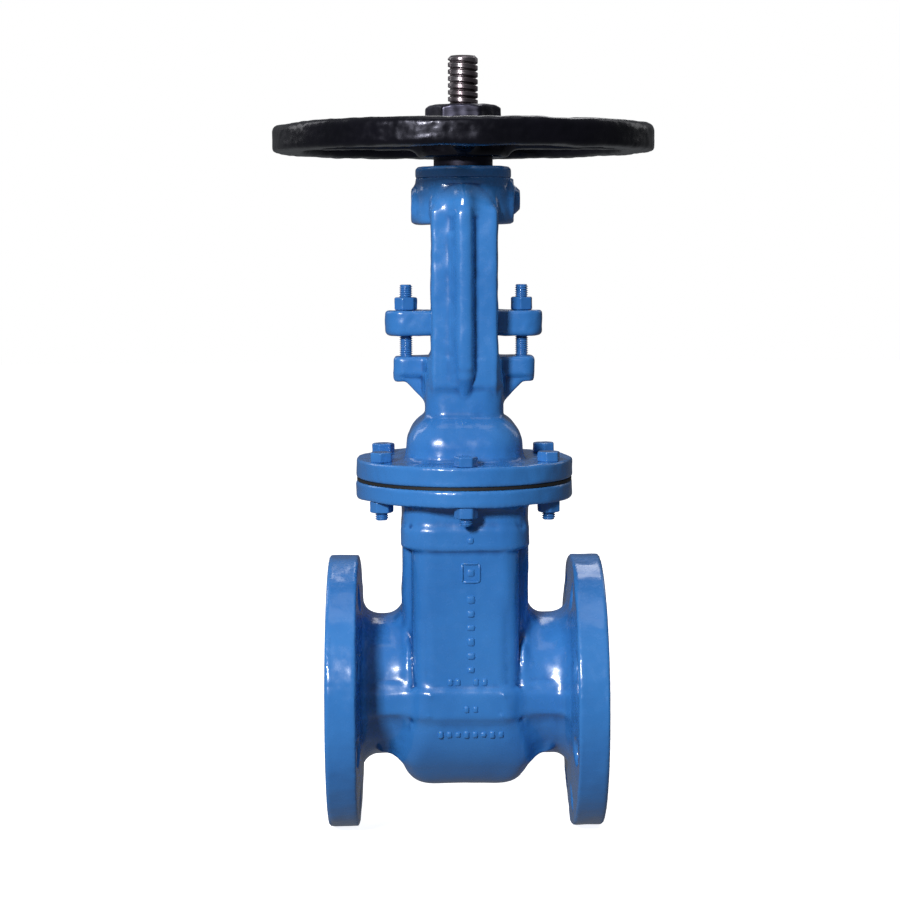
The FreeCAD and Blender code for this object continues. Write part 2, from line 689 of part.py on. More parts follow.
def packing_rings():
    """Square rings of graphite packing around the stem."""
    step = (PACKING_TOP - BOX_BOTTOM) / PACKING_RINGS
    rings = []
    for i in range(PACKING_RINGS):
        low = BOX_BOTTOM + i * step
        top = low + step - RING_GAP
        rings.append(tube(BOX_BORE_R - RING_GAP, STEM_R + RUN_CLEARANCE, low, top))
    return Part.makeCompound(rings)


def gland_follower():
    """The bushing that presses on the packing."""
    inner = STEM_R + FREE_CLEARANCE
    outer = BOX_BORE_R - FREE_CLEARANCE
    low = PACKING_TOP + FOLLOWER_GAP
    lip = GLAND_Z[0] - FOLLOWER_LIP_H
    return turned([(inner, low), (outer, low), (outer, lip), (FOLLOWER_LIP_R, lip),
                   (FOLLOWER_LIP_R, GLAND_Z[0]), (inner, GLAND_Z[0])])


def gland_flange():
    """The oval plate that the gland nuts pull down."""
    end_x = GLAND_HALF_LENGTH - GLAND_END_R
    ends = [cylinder(GLAND_END_R, *GLAND_Z, x=x) for x in (-end_x, end_x)]
    bar = box(-end_x, end_x, -GLAND_END_R, GLAND_END_R, *GLAND_Z)
    plate = join([bar, cylinder(GLAND_MID_R, *GLAND_Z)] + ends)
    low = [e for e in plate.Edges if e.BoundBox.ZMax < GLAND_Z[0] + SLIVER
           and abs(e.CenterOfMass.x) > GLAND_MID_R]
    plate = plate.makeFillet(GLAND_EDGE_ROUND, low)
    holes = [cylinder(GLAND_BORE_R, GLAND_Z[0] - LAP, GLAND_Z[1] + LAP)]
    for x in (-GLAND_BOLT_X, GLAND_BOLT_X):
        holes.append(cylinder(GLAND_HOLE_R, GLAND_Z[0] - LAP, GLAND_Z[1] + LAP, x))
    return plate.cut(holes)


def gland_studs():
    """Two studs screwed into the bonnet's lugs."""
    low, top = GLAND_STUD_Z
    tip = BOLT_R - BOLT_CHAMFER
    stud = turned([(0, low), (tip, low), (BOLT_R, low + BOLT_CHAMFER),
                   (BOLT_R, top - BOLT_CHAMFER), (tip, top), (0, top)])
    return Part.makeCompound([move(stud, x) for x in (-GLAND_BOLT_X, GLAND_BOLT_X)])


def gland_nut(x, spin):
    """A nut that draws the gland flange down along its stud."""
    low = GLAND_Z[1] + GLAND_NUT_GAP
    top = low + GLAND_NUT_H
    nut = hexagon(HEX_AF, low, top, spin=spin)
    return move(nut.cut(cylinder(BOLT_R + RUN_CLEARANCE, low - LAP, top + LAP)), x)


# ---------------------------------------------------------------- sleeve and handwheel

def keyway(low, top):
    """The slot for the wheel's key."""
    return box(*KEYWAY_X, -KEY_HALF, KEY_HALF, low, top)


def yoke_sleeve():
    """The stem nut: it turns in the yoke head, and its thread lifts the stem."""
    low = BUSH_Z[0] + SLEEVE_LIFT
    top = HUB_Z[1]
    tip = SLEEVE_THREAD_R - BOLT_CHAMFER
    outline = [(SLEEVE_BORE_R, low), (JOURNAL_R, low),
               (JOURNAL_R, SLEEVE_FLANGE_Z[0]), (SLEEVE_FLANGE_R, SLEEVE_FLANGE_Z[0]),
               (SLEEVE_FLANGE_R, SLEEVE_FLANGE_Z[1]), (SLEEVE_NECK_R, SLEEVE_FLANGE_Z[1]),
               (SLEEVE_NECK_R, SLEEVE_SHOULDER), (WHEEL_SEAT_R, SLEEVE_SHOULDER),
               (WHEEL_SEAT_R, top), (SLEEVE_THREAD_R, top),
               (SLEEVE_THREAD_R, SLEEVE_TOP - BOLT_CHAMFER), (tip, SLEEVE_TOP),
               (SLEEVE_BORE_R, SLEEVE_TOP)]
    return turned(outline).cut(keyway(SLEEVE_SHOULDER + EDGE_ROUND, top + SLIVER))


def sleeve_bush():
    """A bronze bush that carries the sleeve's journal."""
    return tube(BUSH_R - THREAD_FIT, JOURNAL_R + RUN_CLEARANCE, *BUSH_Z)


def thrust_washer(neck, z0, z1):
    """A flat bronze washer beside the sleeve's flange, around a neck of the sleeve."""
    return tube(POCKET_R - FREE_CLEARANCE, neck + FREE_CLEARANCE, z0, z1)


def sleeve_retainer():
    """The ring that closes the yoke head over the sleeve."""
    low, top = RETAINER_Z
    bore = SLEEVE_NECK_R + FREE_CLEARANCE
    spigot = POCKET_R - THREAD_FIT
    return turned([(bore, low), (spigot, low), (spigot, HEAD_Z[1]), (HEAD_R, HEAD_Z[1]),
                   (HEAD_R, top - RETAINER_CHAMFER), (HEAD_R - RETAINER_CHAMFER, top),
                   (bore, top)])


def grease_plug():
    """A hexagon plug in the side of the yoke head."""
    head = turn(hexagon(PLUG_HEX_AF, RIGHT_BOSS_END, PLUG_END), 90, Y_AXIS)
    shank = pipe_cylinder(PLUG_SHANK_R, PLUG_SHANK_X, RIGHT_BOSS_END + LAP)
    return move(head.fuse(shank), z=PLUG_Z)


def handwheel():
    """A cast wheel: rim, hub and flat spokes."""
    low, high = RIM_Z
    rim = turned([(RIM_INNER_R, low), (WHEEL_R, low), (WHEEL_R, high), (RIM_INNER_R, high)])
    top_edges = circles(rim, lambda edge: edge.BoundBox.ZMin > high - SLIVER)
    rim = rim.makeFillet(RIM_ROUND_TOP, top_edges)
    bottom_edges = circles(rim, lambda edge: edge.BoundBox.ZMax < low + SLIVER)
    rim = rim.makeFillet(RIM_ROUND_BOTTOM, bottom_edges)
    spoke = box(HUB_R - SPOKE_LAP, RIM_INNER_R + SPOKE_LAP, -SPOKE_HALF, SPOKE_HALF, *SPOKE_Z)
    spoke = spoke.makeFillet(SPOKE_ROUND, edges_along(spoke, X_AXIS))
    spokes = [turn(spoke, 360.0 * i / SPOKES) for i in range(SPOKES)]
    wheel = join([rim, cylinder(HUB_R, *HUB_Z)] + spokes)
    bore = cylinder(WHEEL_SEAT_R + THREAD_FIT, HUB_Z[0] - LAP, HUB_Z[1] + LAP)
    return wheel.cut([bore, keyway(HUB_Z[0] - LAP, HUB_Z[1] + LAP)])


def wheel_key():
    """The key that makes the sleeve turn with the wheel."""
    x0, x1 = KEYWAY_X
    half = KEY_HALF - KEY_FIT / 2
    return box(x0 + KEY_FIT, x1 - KEY_FIT, -half, half, SLEEVE_SHOULDER + EDGE_ROUND + KEY_FIT,
               HUB_Z[1] - KEY_FIT)


def wheel_nut():
    """The big nut that holds the handwheel down."""
    low = HUB_Z[1] + SLIVER / 2
    nut = hexagon(WHEEL_NUT_AF, low, WHEEL_NUT_TOP, spin=WHEEL_NUT_TURN, chamfer_low=True)
    return nut.cut(cylinder(SLEEVE_THREAD_R + THREAD_FIT, low - LAP, WHEEL_NUT_TOP + LAP))


def build():
    """Every piece by its node name."""
    lower_washer_top = BUSH_Z[1] + WASHER_T
    upper_washer_z = (SLEEVE_FLANGE_Z[1] + SLEEVE_LIFT, RETAINER_Z[0] - SLIVER)
    return {
        "body": body(),
        "seat_ring_left": seat_ring(-1),
        "seat_ring_right": seat_ring(1),
        "wedge": wedge(),
        "wedge_face_ring_left": wedge_face_ring(-1),
        "wedge_face_ring_right": wedge_face_ring(1),
        "stem": stem(),
        "bonnet_gasket": bonnet_gasket(),
        "bonnet": bonnet(),
        "bonnet_bolts": joint_bolts(),
        "bonnet_nuts": joint_nuts(),
        "backseat_bush": backseat_bush(),
        "packing_rings": packing_rings(),
        "gland_follower": gland_follower(),
        "gland_flange": gland_flange(),
        "gland_studs": gland_studs(),
        "gland_nut_left": gland_nut(-GLAND_BOLT_X, GLAND_NUT_TURNS[0]),
        "gland_nut_right": gland_nut(GLAND_BOLT_X, GLAND_NUT_TURNS[1]),
        "yoke_sleeve": yoke_sleeve(),
        "sleeve_bush": sleeve_bush(),
        "lower_thrust_washer": thrust_washer(JOURNAL_R, BUSH_Z[1], lower_washer_top),
        "upper_thrust_washer": thrust_washer(SLEEVE_NECK_R, *upper_washer_z),
        "sleeve_retainer": sleeve_retainer(),
        "grease_plug": grease_plug(),
        "handwheel": handwheel(),
        "wheel_key": wheel_key(),
        "wheel_nut": wheel_nut(),
    }


os.makedirs("parts", exist_ok=True)
for name, shape in build().items():
    print(name, "solids", len(shape.Solids), "valid", shape.isValid(), "volume", round(shape.Volume))
    shape.exportStep("parts/" + name + ".step")
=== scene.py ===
import json
import math

import bpy
import numpy as np
import openvdb
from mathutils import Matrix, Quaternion, Vector


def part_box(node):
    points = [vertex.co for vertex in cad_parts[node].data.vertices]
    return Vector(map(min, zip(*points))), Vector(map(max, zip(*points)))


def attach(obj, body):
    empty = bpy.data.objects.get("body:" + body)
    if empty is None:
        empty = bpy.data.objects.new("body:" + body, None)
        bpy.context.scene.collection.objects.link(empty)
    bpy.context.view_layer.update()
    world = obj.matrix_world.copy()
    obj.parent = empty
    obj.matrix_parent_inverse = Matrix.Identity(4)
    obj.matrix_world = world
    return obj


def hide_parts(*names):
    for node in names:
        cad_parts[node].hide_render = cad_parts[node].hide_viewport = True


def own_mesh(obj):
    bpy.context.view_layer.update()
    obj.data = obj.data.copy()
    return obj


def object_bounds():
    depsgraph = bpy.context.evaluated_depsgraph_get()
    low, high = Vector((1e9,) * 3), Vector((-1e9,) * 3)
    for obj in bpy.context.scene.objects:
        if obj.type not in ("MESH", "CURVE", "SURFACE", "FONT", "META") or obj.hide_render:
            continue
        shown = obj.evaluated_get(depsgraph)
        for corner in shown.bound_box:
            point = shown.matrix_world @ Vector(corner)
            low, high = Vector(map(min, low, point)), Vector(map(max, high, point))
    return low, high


# A flanged gate valve with a rising stem. The castings are the CAD solids with rolled fillets,
# worn edges and an uneven cast skin; threads, nuts and bolts are made here. Units are metres.

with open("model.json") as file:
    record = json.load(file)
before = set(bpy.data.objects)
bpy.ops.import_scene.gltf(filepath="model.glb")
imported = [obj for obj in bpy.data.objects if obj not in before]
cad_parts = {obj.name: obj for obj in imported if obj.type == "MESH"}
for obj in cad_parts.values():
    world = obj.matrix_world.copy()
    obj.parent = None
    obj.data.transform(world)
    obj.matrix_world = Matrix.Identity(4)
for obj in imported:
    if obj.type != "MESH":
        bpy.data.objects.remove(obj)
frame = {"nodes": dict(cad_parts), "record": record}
CAD_LOW, CAD_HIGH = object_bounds()
MM = 0.001
COARSE = 1.0

STEM_RADIUS = 11.0 * MM
STEM_PITCH = 5.0 * MM
STEM_THREAD_DEPTH = 1.6 * MM
STEM_THREAD_START = 285.0 * MM
STEM_TIP = 2.0 * MM
STEM_HEAD_HALF = 13.0 * MM
STEM_HEAD_HEIGHT = 11.0 * MM
BOLT_RADIUS = 4.76 * MM
BOLT_PITCH = 25.4 / 16 * MM
BOLT_THREAD_DEPTH = 0.75 * MM
BOLT_TIP = 1.1 * MM
BOLT_HEAD_HEIGHT = 7.1 * MM
HEX_ACROSS = 15.24 * MM
JOINT_BOLT_CIRCLE = 70.0 * MM
BOWL_SAG = 2.4 * MM
MARK_PROUD = 1.3 * MM
MARK_HALF_Y = 2.2 * MM
PLUG_SEAT = 37.0 * MM
FLOOR_HALF = 6.0


# ---------------------------------------------------------------- camera, floor and light

def look_at(thing, target):
    """Turns a camera or a lamp towards a point."""
    away = Vector(target) - thing.location
    thing.rotation_mode = "QUATERNION"
    thing.rotation_quaternion = away.to_track_quat("-Z", "Y")


def add_camera():
    """A short telephoto a little below the handwheel. Its lens is shifted, not only tilted, so
    that the flanges and the wheel keep their true proportions."""
    data = bpy.data.cameras.new("camera")
    data.lens = 85.85
    data.sensor_width = 36.0
    data.shift_y = -0.0815
    camera = bpy.data.objects.new("camera", data)
    bpy.context.scene.collection.objects.link(camera)
    camera.location = (-0.0261, -1.585, 0.334)
    look_at(camera, (-0.0103, 0.0, 0.2334))
    roll = Quaternion((0.0, 0.0, 1.0), math.radians(-0.23))
    camera.rotation_quaternion = camera.rotation_quaternion @ roll
    bpy.context.scene.camera = camera


def add_area_light(name, azimuth, elevation, distance, width, height, power):
    """A softbox that faces the valve. Azimuth 0 is in front of it and 90 on its right."""
    centre = (CAD_LOW + CAD_HIGH) / 2
    a, e = math.radians(azimuth), math.radians(elevation)
    data = bpy.data.lights.new(name, "AREA")
    data.shape = "RECTANGLE"
    data.size = width
    data.size_y = height
    data.energy = power
    lamp = bpy.data.objects.new(name, data)
    bpy.context.scene.collection.objects.link(lamp)
    lamp.location = centre + distance * Vector((math.sin(a) * math.cos(e),
                                                -math.cos(a) * math.cos(e), math.sin(e)))
    look_at(lamp, centre)


def add_world():
    """White to the camera. On the valve it is a dim light, dimmest level with it and on its
    right."""
    world = bpy.data.worlds.new("studio")
    world.use_nodes = True
    nodes, links = world.node_tree.nodes, world.node_tree.links
    nodes.clear()
    seen = nodes.new("ShaderNodeBackground")
    seen.inputs["Color"].default_value = (1.0, 1.0, 1.0, 1.0)
    lit = nodes.new("ShaderNodeBackground")
    lit.inputs["Color"].default_value = (0.9, 0.94, 1.0, 1.0)
    direction = nodes.new("ShaderNodeTexCoord")
    parts = nodes.new("ShaderNodeSeparateXYZ")
    links.new(direction.outputs["Generated"], parts.inputs["Vector"])
    steepness = nodes.new("ShaderNodeMath")
    steepness.operation = "ABSOLUTE"
    links.new(parts.outputs["Z"], steepness.inputs[0])
    strength = nodes.new("ShaderNodeMath")
    strength.operation = "MULTIPLY"
    for i, (source, limits) in enumerate(((steepness.outputs["Value"], (0.0, 0.8, 0.12, 0.27)),
                                          (parts.outputs["X"], (-1.0, 1.0, 1.15, 0.65)))):
        fade = nodes.new("ShaderNodeMapRange")
        for name, value in zip(("From Min", "From Max", "To Min", "To Max"), limits):
            fade.inputs[name].default_value = value
        links.new(source, fade.inputs["Value"])
        links.new(fade.outputs["Result"], strength.inputs[i])
    links.new(strength.outputs["Value"], lit.inputs["Strength"])
    path = nodes.new("ShaderNodeLightPath")
    mix = nodes.new("ShaderNodeMixShader")
    out = nodes.new("ShaderNodeOutputWorld")
    links.new(path.outputs["Is Camera Ray"], mix.inputs["Fac"])
    links.new(lit.outputs["Background"], mix.inputs[1])
    links.new(seen.outputs["Background"], mix.inputs[2])
    links.new(mix.outputs["Shader"], out.inputs["Surface"])
    bpy.context.scene.world = world


def add_floor():
    """A pale floor under the flanges."""
    corners = [(x * FLOOR_HALF, y * FLOOR_HALF, CAD_LOW.z)
               for x, y in ((-1, -1), (1, -1), (1, 1), (-1, 1))]
    mesh = bpy.data.meshes.new("floor")
    mesh.from_pydata(corners, [], [(0, 1, 2, 3)])
    floor = bpy.data.objects.new("floor", mesh)
    bpy.context.scene.collection.objects.link(floor)
    material = new_material("floor_paint", (0.86, 0.86, 0.87), roughness=0.6)
    ramp_colours(material, noise(material, 2.0), (0.84, 0.84, 0.85), (0.88, 0.88, 0.89))
    shader = material.node_tree.nodes["Principled BSDF"]
    shader.inputs["Emission Color"].default_value = (1.0, 1.0, 1.0, 1.0)
    shader.inputs["Emission Strength"].default_value = 0.9
    mesh.materials.append(material)
    floor.visible_diffuse = False
    floor.visible_glossy = False


# ---------------------------------------------------------------- material helpers

def srgb(red, green, blue):
    """A linear colour from 8-bit sRGB values."""
    linear = []
    for value in (red, green, blue):
        v = value / 255.0
        linear.append(v / 12.92 if v <= 0.04045 else ((v + 0.055) / 1.055) ** 2.4)
    return tuple(linear)


def new_material(name, colour, roughness, metallic=0.0, coat=0.0, coat_roughness=0.05):
    """A material with one Principled shader, its steady values set on its own sockets."""
    material = bpy.data.materials.new(name)
    material.use_nodes = True
    shader = material.node_tree.nodes["Principled BSDF"]
    shader.inputs["Base Color"].default_value = (*colour, 1.0)
    shader.inputs["Roughness"].default_value = roughness
    shader.inputs["Metallic"].default_value = metallic
    shader.inputs["Coat Weight"].default_value = coat
    shader.inputs["Coat Roughness"].default_value = coat_roughness
    return material


def node(material, kind, **values):
    """Adds a node and sets its inputs by name or its properties."""
    made = material.node_tree.nodes.new(kind)
    for key, value in values.items():
        if key in made.inputs:
            made.inputs[key].default_value = value
        else:
            setattr(made, key, value)
    return made


def link(material, source, target):
    """Joins an output to an input."""
    material.node_tree.links.new(source, target)


def noise(material, scale, detail=4.0, roughness=0.5, stretch=(1.0, 1.0, 1.0)):
    """A noise texture in the piece's own coordinates, scale per metre."""
    place = node(material, "ShaderNodeTexCoord")
    mapping = node(material, "ShaderNodeMapping", Scale=stretch)
    link(material, place.outputs["Object"], mapping.inputs["Vector"])
    made = node(material, "ShaderNodeTexNoise", Scale=scale, Detail=detail, Roughness=roughness)
    link(material, mapping.outputs["Vector"], made.inputs["Vector"])
    return made.outputs["Fac"]


def remap(material, source, low, high, to_low=0.0, to_high=1.0):
    """Maps a range of a value onto another, clamped."""
    made = node(material, "ShaderNodeMapRange")
    made.inputs["From Min"].default_value = low
    made.inputs["From Max"].default_value = high
    made.inputs["To Min"].default_value = to_low
    made.inputs["To Max"].default_value = to_high
    link(material, source, made.inputs["Value"])
    return made.outputs["Result"]


def combine(material, operation, first, second):
    """A maths node on two values, each a socket or a number."""
    made = node(material, "ShaderNodeMath", operation=operation)
    for value, socket in ((first, made.inputs[0]), (second, made.inputs[1])):
        if isinstance(value, (int, float)):
            socket.default_value = value
        else:
            link(material, value, socket)
    return made.outputs["Value"]


def mix_colours(material, factor, first, second):
    """Mixes two colours, each a socket or three numbers."""
    made = node(material, "ShaderNodeMix", data_type="RGBA")
    link(material, factor, made.inputs["Factor"])
    for value, socket in ((first, made.inputs[6]), (second, made.inputs[7])):
        if isinstance(value, tuple):
            socket.default_value = (*value, 1.0)
        else:
            link(material, value, socket)
    return made.outputs[2]


def ramp_colours(material, factor, first, second):
    """Drives the base colour between two colours."""
    shader = material.node_tree.nodes["Principled BSDF"]
    link(material, mix_colours(material, factor, first, second), shader.inputs["Base Color"])


def add_bump(material, layers):
    """Chains bumps, each (height socket, distance in metres, strength), onto the shader."""
    shader = material.node_tree.nodes["Principled BSDF"]
    normal = None
    for height, distance, strength in layers:
        made = node(material, "ShaderNodeBump", Distance=distance, Strength=strength)
        link(material, height, made.inputs["Height"])
        if normal is not None:
            link(material, normal, made.inputs["Normal"])
        normal = made.outputs["Normal"]
    link(material, normal, shader.inputs["Normal"])
    if shader.inputs["Coat Weight"].default_value > 0:
        link(material, normal, shader.inputs["Coat Normal"])


def edge_factor(material, low, high):
    """0 in hollows and on flats, 1 on worn outer edges."""
    geometry = node(material, "ShaderNodeNewGeometry")
    return remap(material, geometry.outputs["Pointiness"], low, high)


# ---------------------------------------------------------------- materials

def enamel(name, base, light, dark, rough, lumps):
    """Brushed-on gloss enamel, thin and light on edges, with painted shade that darkens its concave
    corners.
    """
    material = new_material(name, base, rough, coat=0.35, coat_roughness=0.06)
    shader = material.node_tree.nodes["Principled BSDF"]
    shader.inputs["Coat IOR"].default_value = 1.5
    broad = remap(material, noise(material, 14.0, 3.0), 0.35, 0.65)
    colour = mix_colours(material, broad, base, light)
    # painted shade: in concave corners the colour is pulled towards the dark colour, where shade
    # falls
    painted_corner_shade = edge_factor(material, 0.497, 0.470)
    colour = mix_colours(material, painted_corner_shade, colour, dark)
    edge = edge_factor(material, 0.515, 0.56)
    colour = mix_colours(material, edge, colour, light)
    link(material, colour, shader.inputs["Base Color"])
    fine = noise(material, 160.0, 3.0)
    roughness = remap(material, fine, 0.3, 0.7, rough * 0.75, rough * 1.35)
    link(material, roughness, shader.inputs["Roughness"])
    peel = noise(material, 420.0, 2.0)
    sand = noise(material, 130.0, 4.0, 0.6)
    add_bump(material, [(sand, lumps * 0.35 * MM, 0.35), (peel, lumps * 0.08 * MM, 0.25)])
    return material


def turned_metal(name, base, dark, rough, marks=1400.0, metallic=1.0):
    """Machined metal with fine turning marks around the stem's axis."""
    material = new_material(name, base, rough, metallic=metallic)
    shader = material.node_tree.nodes["Principled BSDF"]
    grime = remap(material, noise(material, 60.0, 5.0, 0.6), 0.35, 0.7)
    link(material, mix_colours(material, grime, base, dark), shader.inputs["Base Color"])
    lines = noise(material, marks, 2.0, 0.5, stretch=(0.05, 0.05, 1.0))
    roughness = remap(material, lines, 0.3, 0.7, rough * 0.7, rough * 1.4)
    link(material, roughness, shader.inputs["Roughness"])
    add_bump(material, [(lines, 0.05 * MM, 0.2)])
    return material


def stem_metal():
    """Turned stainless steel with a film of brown grease down in its thread."""
    bright, warm = srgb(172, 166, 170), srgb(126, 112, 118)
    material = new_material("stem_steel", bright, 0.28, metallic=1.0)
    shader = material.node_tree.nodes["Principled BSDF"]
    place = node(material, "ShaderNodeTexCoord")
    parts = node(material, "ShaderNodeSeparateXYZ")
    link(material, place.outputs["Object"], parts.inputs["Vector"])
    across = combine(material, "POWER", parts.outputs["X"], 2.0)
    deep = combine(material, "POWER", parts.outputs["Y"], 2.0)
    radius = combine(material, "SQRT", combine(material, "ADD", across, deep), 0.0)
    root = STEM_RADIUS - STEM_THREAD_DEPTH
    in_root = remap(material, radius, STEM_RADIUS - 0.3 * MM, root)
    patches = remap(material, noise(material, 55.0, 4.0), 0.35, 0.65)
    grease = combine(material, "MULTIPLY", in_root, remap(material, patches, 0.0, 1.0, 0.55, 1.0))
    skin = mix_colours(material, patches, bright, warm)
    link(material, mix_colours(material, grease, skin, srgb(34, 27, 29)),
         shader.inputs["Base Color"])
    lines = noise(material, 1500.0, 2.0, 0.5, stretch=(0.05, 0.05, 1.0))
    rough = combine(material, "ADD", remap(material, lines, 0.3, 0.7, 0.18, 0.34),
                    combine(material, "MULTIPLY", grease, 0.2))
    link(material, rough, shader.inputs["Roughness"])
    add_bump(material, [(lines, 0.05 * MM, 0.25)])
    return material


def rough_black():
    """Gloss black enamel over a sand-cast wheel."""
    base = srgb(7, 7, 12)
    material = new_material("black_enamel", base, 0.24, coat=0.12, coat_roughness=0.1)
    shader = material.node_tree.nodes["Principled BSDF"]
    shader.inputs["Specular IOR Level"].default_value = 0.24
    shader.inputs["Specular Tint"].default_value = (0.8, 0.8, 1.0, 1.0)
    edge = edge_factor(material, 0.52, 0.60)
    dust = remap(material, noise(material, 35.0, 5.0), 0.4, 0.75)
    colour = mix_colours(material, dust, base, srgb(13, 12, 19))
    link(material, mix_colours(material, edge, colour, srgb(17, 17, 24)),
         shader.inputs["Base Color"])
    fine = noise(material, 220.0, 4.0)
    link(material, remap(material, fine, 0.3, 0.7, 0.2, 0.34), shader.inputs["Roughness"])
    sand = noise(material, 200.0, 4.0, 0.6)
    add_bump(material, [(sand, 0.3 * MM, 0.25)])
    return material


def dull_solid(name, base, other, rough, scale, height, metallic=0.0):
    """A matt, speckled material: fibre, graphite or cast iron."""
    material = new_material(name, base, rough, metallic=metallic)
    shader = material.node_tree.nodes["Principled BSDF"]
    speckle = noise(material, scale, 6.0, 0.65)
    factor = remap(material, speckle, 0.35, 0.7)
    link(material, mix_colours(material, factor, base, other), shader.inputs["Base Color"])
    link(material, remap(material, speckle, 0.3, 0.7, rough * 0.85, rough * 1.1),
         shader.inputs["Roughness"])
    add_bump(material, [(speckle, height, 0.5)])
    return material


MATERIALS = {
    # The third colour of each enamel is its painted shade in concave corners.
    "blue_enamel": enamel("blue_enamel", srgb(46, 111, 182), srgb(56, 123, 194),
                          srgb(26, 80, 145), 0.24, 1.0),
    "blue_fasteners": enamel("blue_fasteners", srgb(44, 105, 174), srgb(58, 121, 190),
                             srgb(22, 66, 128), 0.22, 0.6),
    "black_enamel": rough_black(),
    "blackened_steel": turned_metal("blackened_steel", srgb(52, 51, 66), srgb(27, 26, 36), 0.36,
                                    marks=500.0, metallic=0.75),
    "stem_steel": stem_metal(),
    "bronze": turned_metal("bronze", srgb(196, 150, 92), srgb(132, 94, 52), 0.3),
    "grey_iron": dull_solid("grey_iron", srgb(98, 98, 100), srgb(62, 60, 60), 0.5, 300.0,
                            0.15 * MM, metallic=0.6),
    "gasket_fibre": dull_solid("gasket_fibre", srgb(13, 13, 15), srgb(27, 27, 30), 0.7, 900.0,
                               0.1 * MM),
    "graphite": dull_solid("graphite", srgb(52, 52, 56), srgb(26, 26, 28), 0.45, 700.0,
                           0.2 * MM, metallic=0.3),
}


# ---------------------------------------------------------------- pieces

def add_piece(name, points, faces, body, slot, *replaced):
    """A smooth mesh piece that rides on a body and stands for CAD nodes."""
    mesh = bpy.data.meshes.new(name)
    mesh.vertices.add(len(points))
    mesh.vertices.foreach_set("co", np.asarray(points, np.float32).ravel())
    mesh.loops.add(faces.size)
    mesh.loops.foreach_set("vertex_index", np.asarray(faces, np.int32).ravel())
    mesh.polygons.add(len(faces))
    starts = np.arange(0, faces.size, faces.shape[1], dtype=np.int32)
    mesh.polygons.foreach_set("loop_start", starts)
    mesh.update(calc_edges=True)
    mesh.validate()
    mesh.shade_smooth()
    mesh.materials.append(MATERIALS[slot])
    piece = bpy.data.objects.new(name, mesh)
    bpy.context.scene.collection.objects.link(piece)
    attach(piece, body)
    if replaced:
        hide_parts(*replaced)
    return piece


def joined(shells):
    """One list of points and quads from several."""
    points, faces, count = [], [], 0
    for shell_points, shell_faces in shells:
        points.append(shell_points)
        faces.append(shell_faces + count)
        count += len(shell_points)
    return np.concatenate(points), np.concatenate(faces)


def facing_out(points, faces):
    """The same closed mesh with its faces' normals outward."""
    corners = points[faces].astype(float)
    normals = np.cross(corners[:, 2] - corners[:, 0], corners[:, 3] - corners[:, 1])
    volume = (normals * corners.mean(axis=1)).sum()
    return faces if volume > 0 else faces[:, ::-1]


def vertex_normals(points, faces):
    """Unit normals at the points of a quad mesh."""
    corners = points[faces].astype(float)
    normals = np.cross(corners[:, 2] - corners[:, 0], corners[:, 3] - corners[:, 1])
    total = np.zeros((len(points), 3))
    for i in range(4):
        np.add.at(total, faces[:, i], normals)
    return total / np.maximum(np.linalg.norm(total, axis=1, keepdims=True), 1e-12)


def lumpiness(points, wavelength, seed, waves=28):
    """A smooth random field, about -1 to 1, made of plane waves near one wavelength."""
    random = np.random.default_rng(seed)
    directions = random.normal(size=(waves, 3))
    directions /= np.linalg.norm(directions, axis=1, keepdims=True)
    lengths = wavelength * random.uniform(0.7, 1.5, waves)
    phases = random.uniform(0, 2 * math.pi, waves)
    field = np.zeros(len(points))
    for direction, length, phase in zip(directions, lengths, phases):
        field += np.sin(points @ direction * (2 * math.pi / length) + phase)
    return field / math.sqrt(waves)


def cast_skin(points, faces, mask, layers, seed):
    """Pushes a casting's surface in and out by layers of (wavelength, height)."""
    push = np.zeros(len(points))
    for i, (wavelength, height) in enumerate(layers):
        push += height * lumpiness(points, wavelength, seed + i)
    return points + vertex_normals(points, faces) * (push * mask(points))[:, None]


def ramp(values, low, high):
    """0 below low, 1 above high and smooth between; high may be the lower."""
    t = np.clip((values - low) / (high - low), 0.0, 1.0)
    return t * t * (3 - 2 * t)


# ---------------------------------------------------------------- castings as distance fields

def cad_surface(name):
    """Points and triangles of a CAD node."""
    mesh = frame["nodes"][name].data
    points = np.empty(len(mesh.vertices) * 3, np.float32)
    mesh.vertices.foreach_get("co", points)
    mesh.calc_loop_triangles()
    triangles = np.empty(len(mesh.loop_triangles) * 3, np.int32)
    mesh.loop_triangles.foreach_get("vertices", triangles)
    return points.reshape(-1, 3), triangles.reshape(-1, 3).astype(np.uint32)


def distance_grid(points, triangles, quads, voxel, reach):
    """A level set around a closed surface, exact out to reach."""
    return openvdb.FloatGrid.createLevelSetFromPolygons(
        points, triangles=triangles, quads=quads,
        transform=openvdb.createLinearTransform(voxelSize=voxel), halfWidth=reach / voxel)


def rolled(grid, radius, voxel):
    """Level set from which the shape rounded by a rolling ball is the surface at -radius.
    A positive radius fills concave corners, and a negative one rounds convex corners."""
    points, triangles, quads = grid.convertToPolygons(isovalue=radius)
    return distance_grid(points, triangles, quads, voxel, abs(radius) + 3 * voxel)


def as_array(grid, low, size):
    """A block of a grid as an array."""
    block = np.empty(size, np.float32)
    grid.copyToArray(block, ijk=low)
    return block


def from_array(block, low, voxel):
    """A grid from a block."""
    grid = openvdb.FloatGrid(float(block.max()))
    grid.transform = openvdb.createLinearTransform(voxelSize=voxel)
    grid.copyFromArray(block, ijk=low)
    return grid


def blurred(field, reach):
    """The field averaged three times over a box of 2 * reach + 1 cells."""
    for axis in (0, 1, 2) * 3:
        pad = [(0, 0)] * 3
        pad[axis] = (reach + 1, reach)
        total = np.cumsum(np.pad(field, pad, mode="edge"), axis=axis, dtype=np.float64)
        count = field.shape[axis]
        ahead = np.take(total, range(2 * reach + 1, 2 * reach + 1 + count), axis=axis)
        field = (ahead - np.take(total, range(count), axis=axis)) / (2 * reach + 1)
    return field.astype(np.float32)


def at_cells(mask, x, y, z):
    """A mask or a distance at every cell."""
    return mask(x, y, z).astype(np.float32)


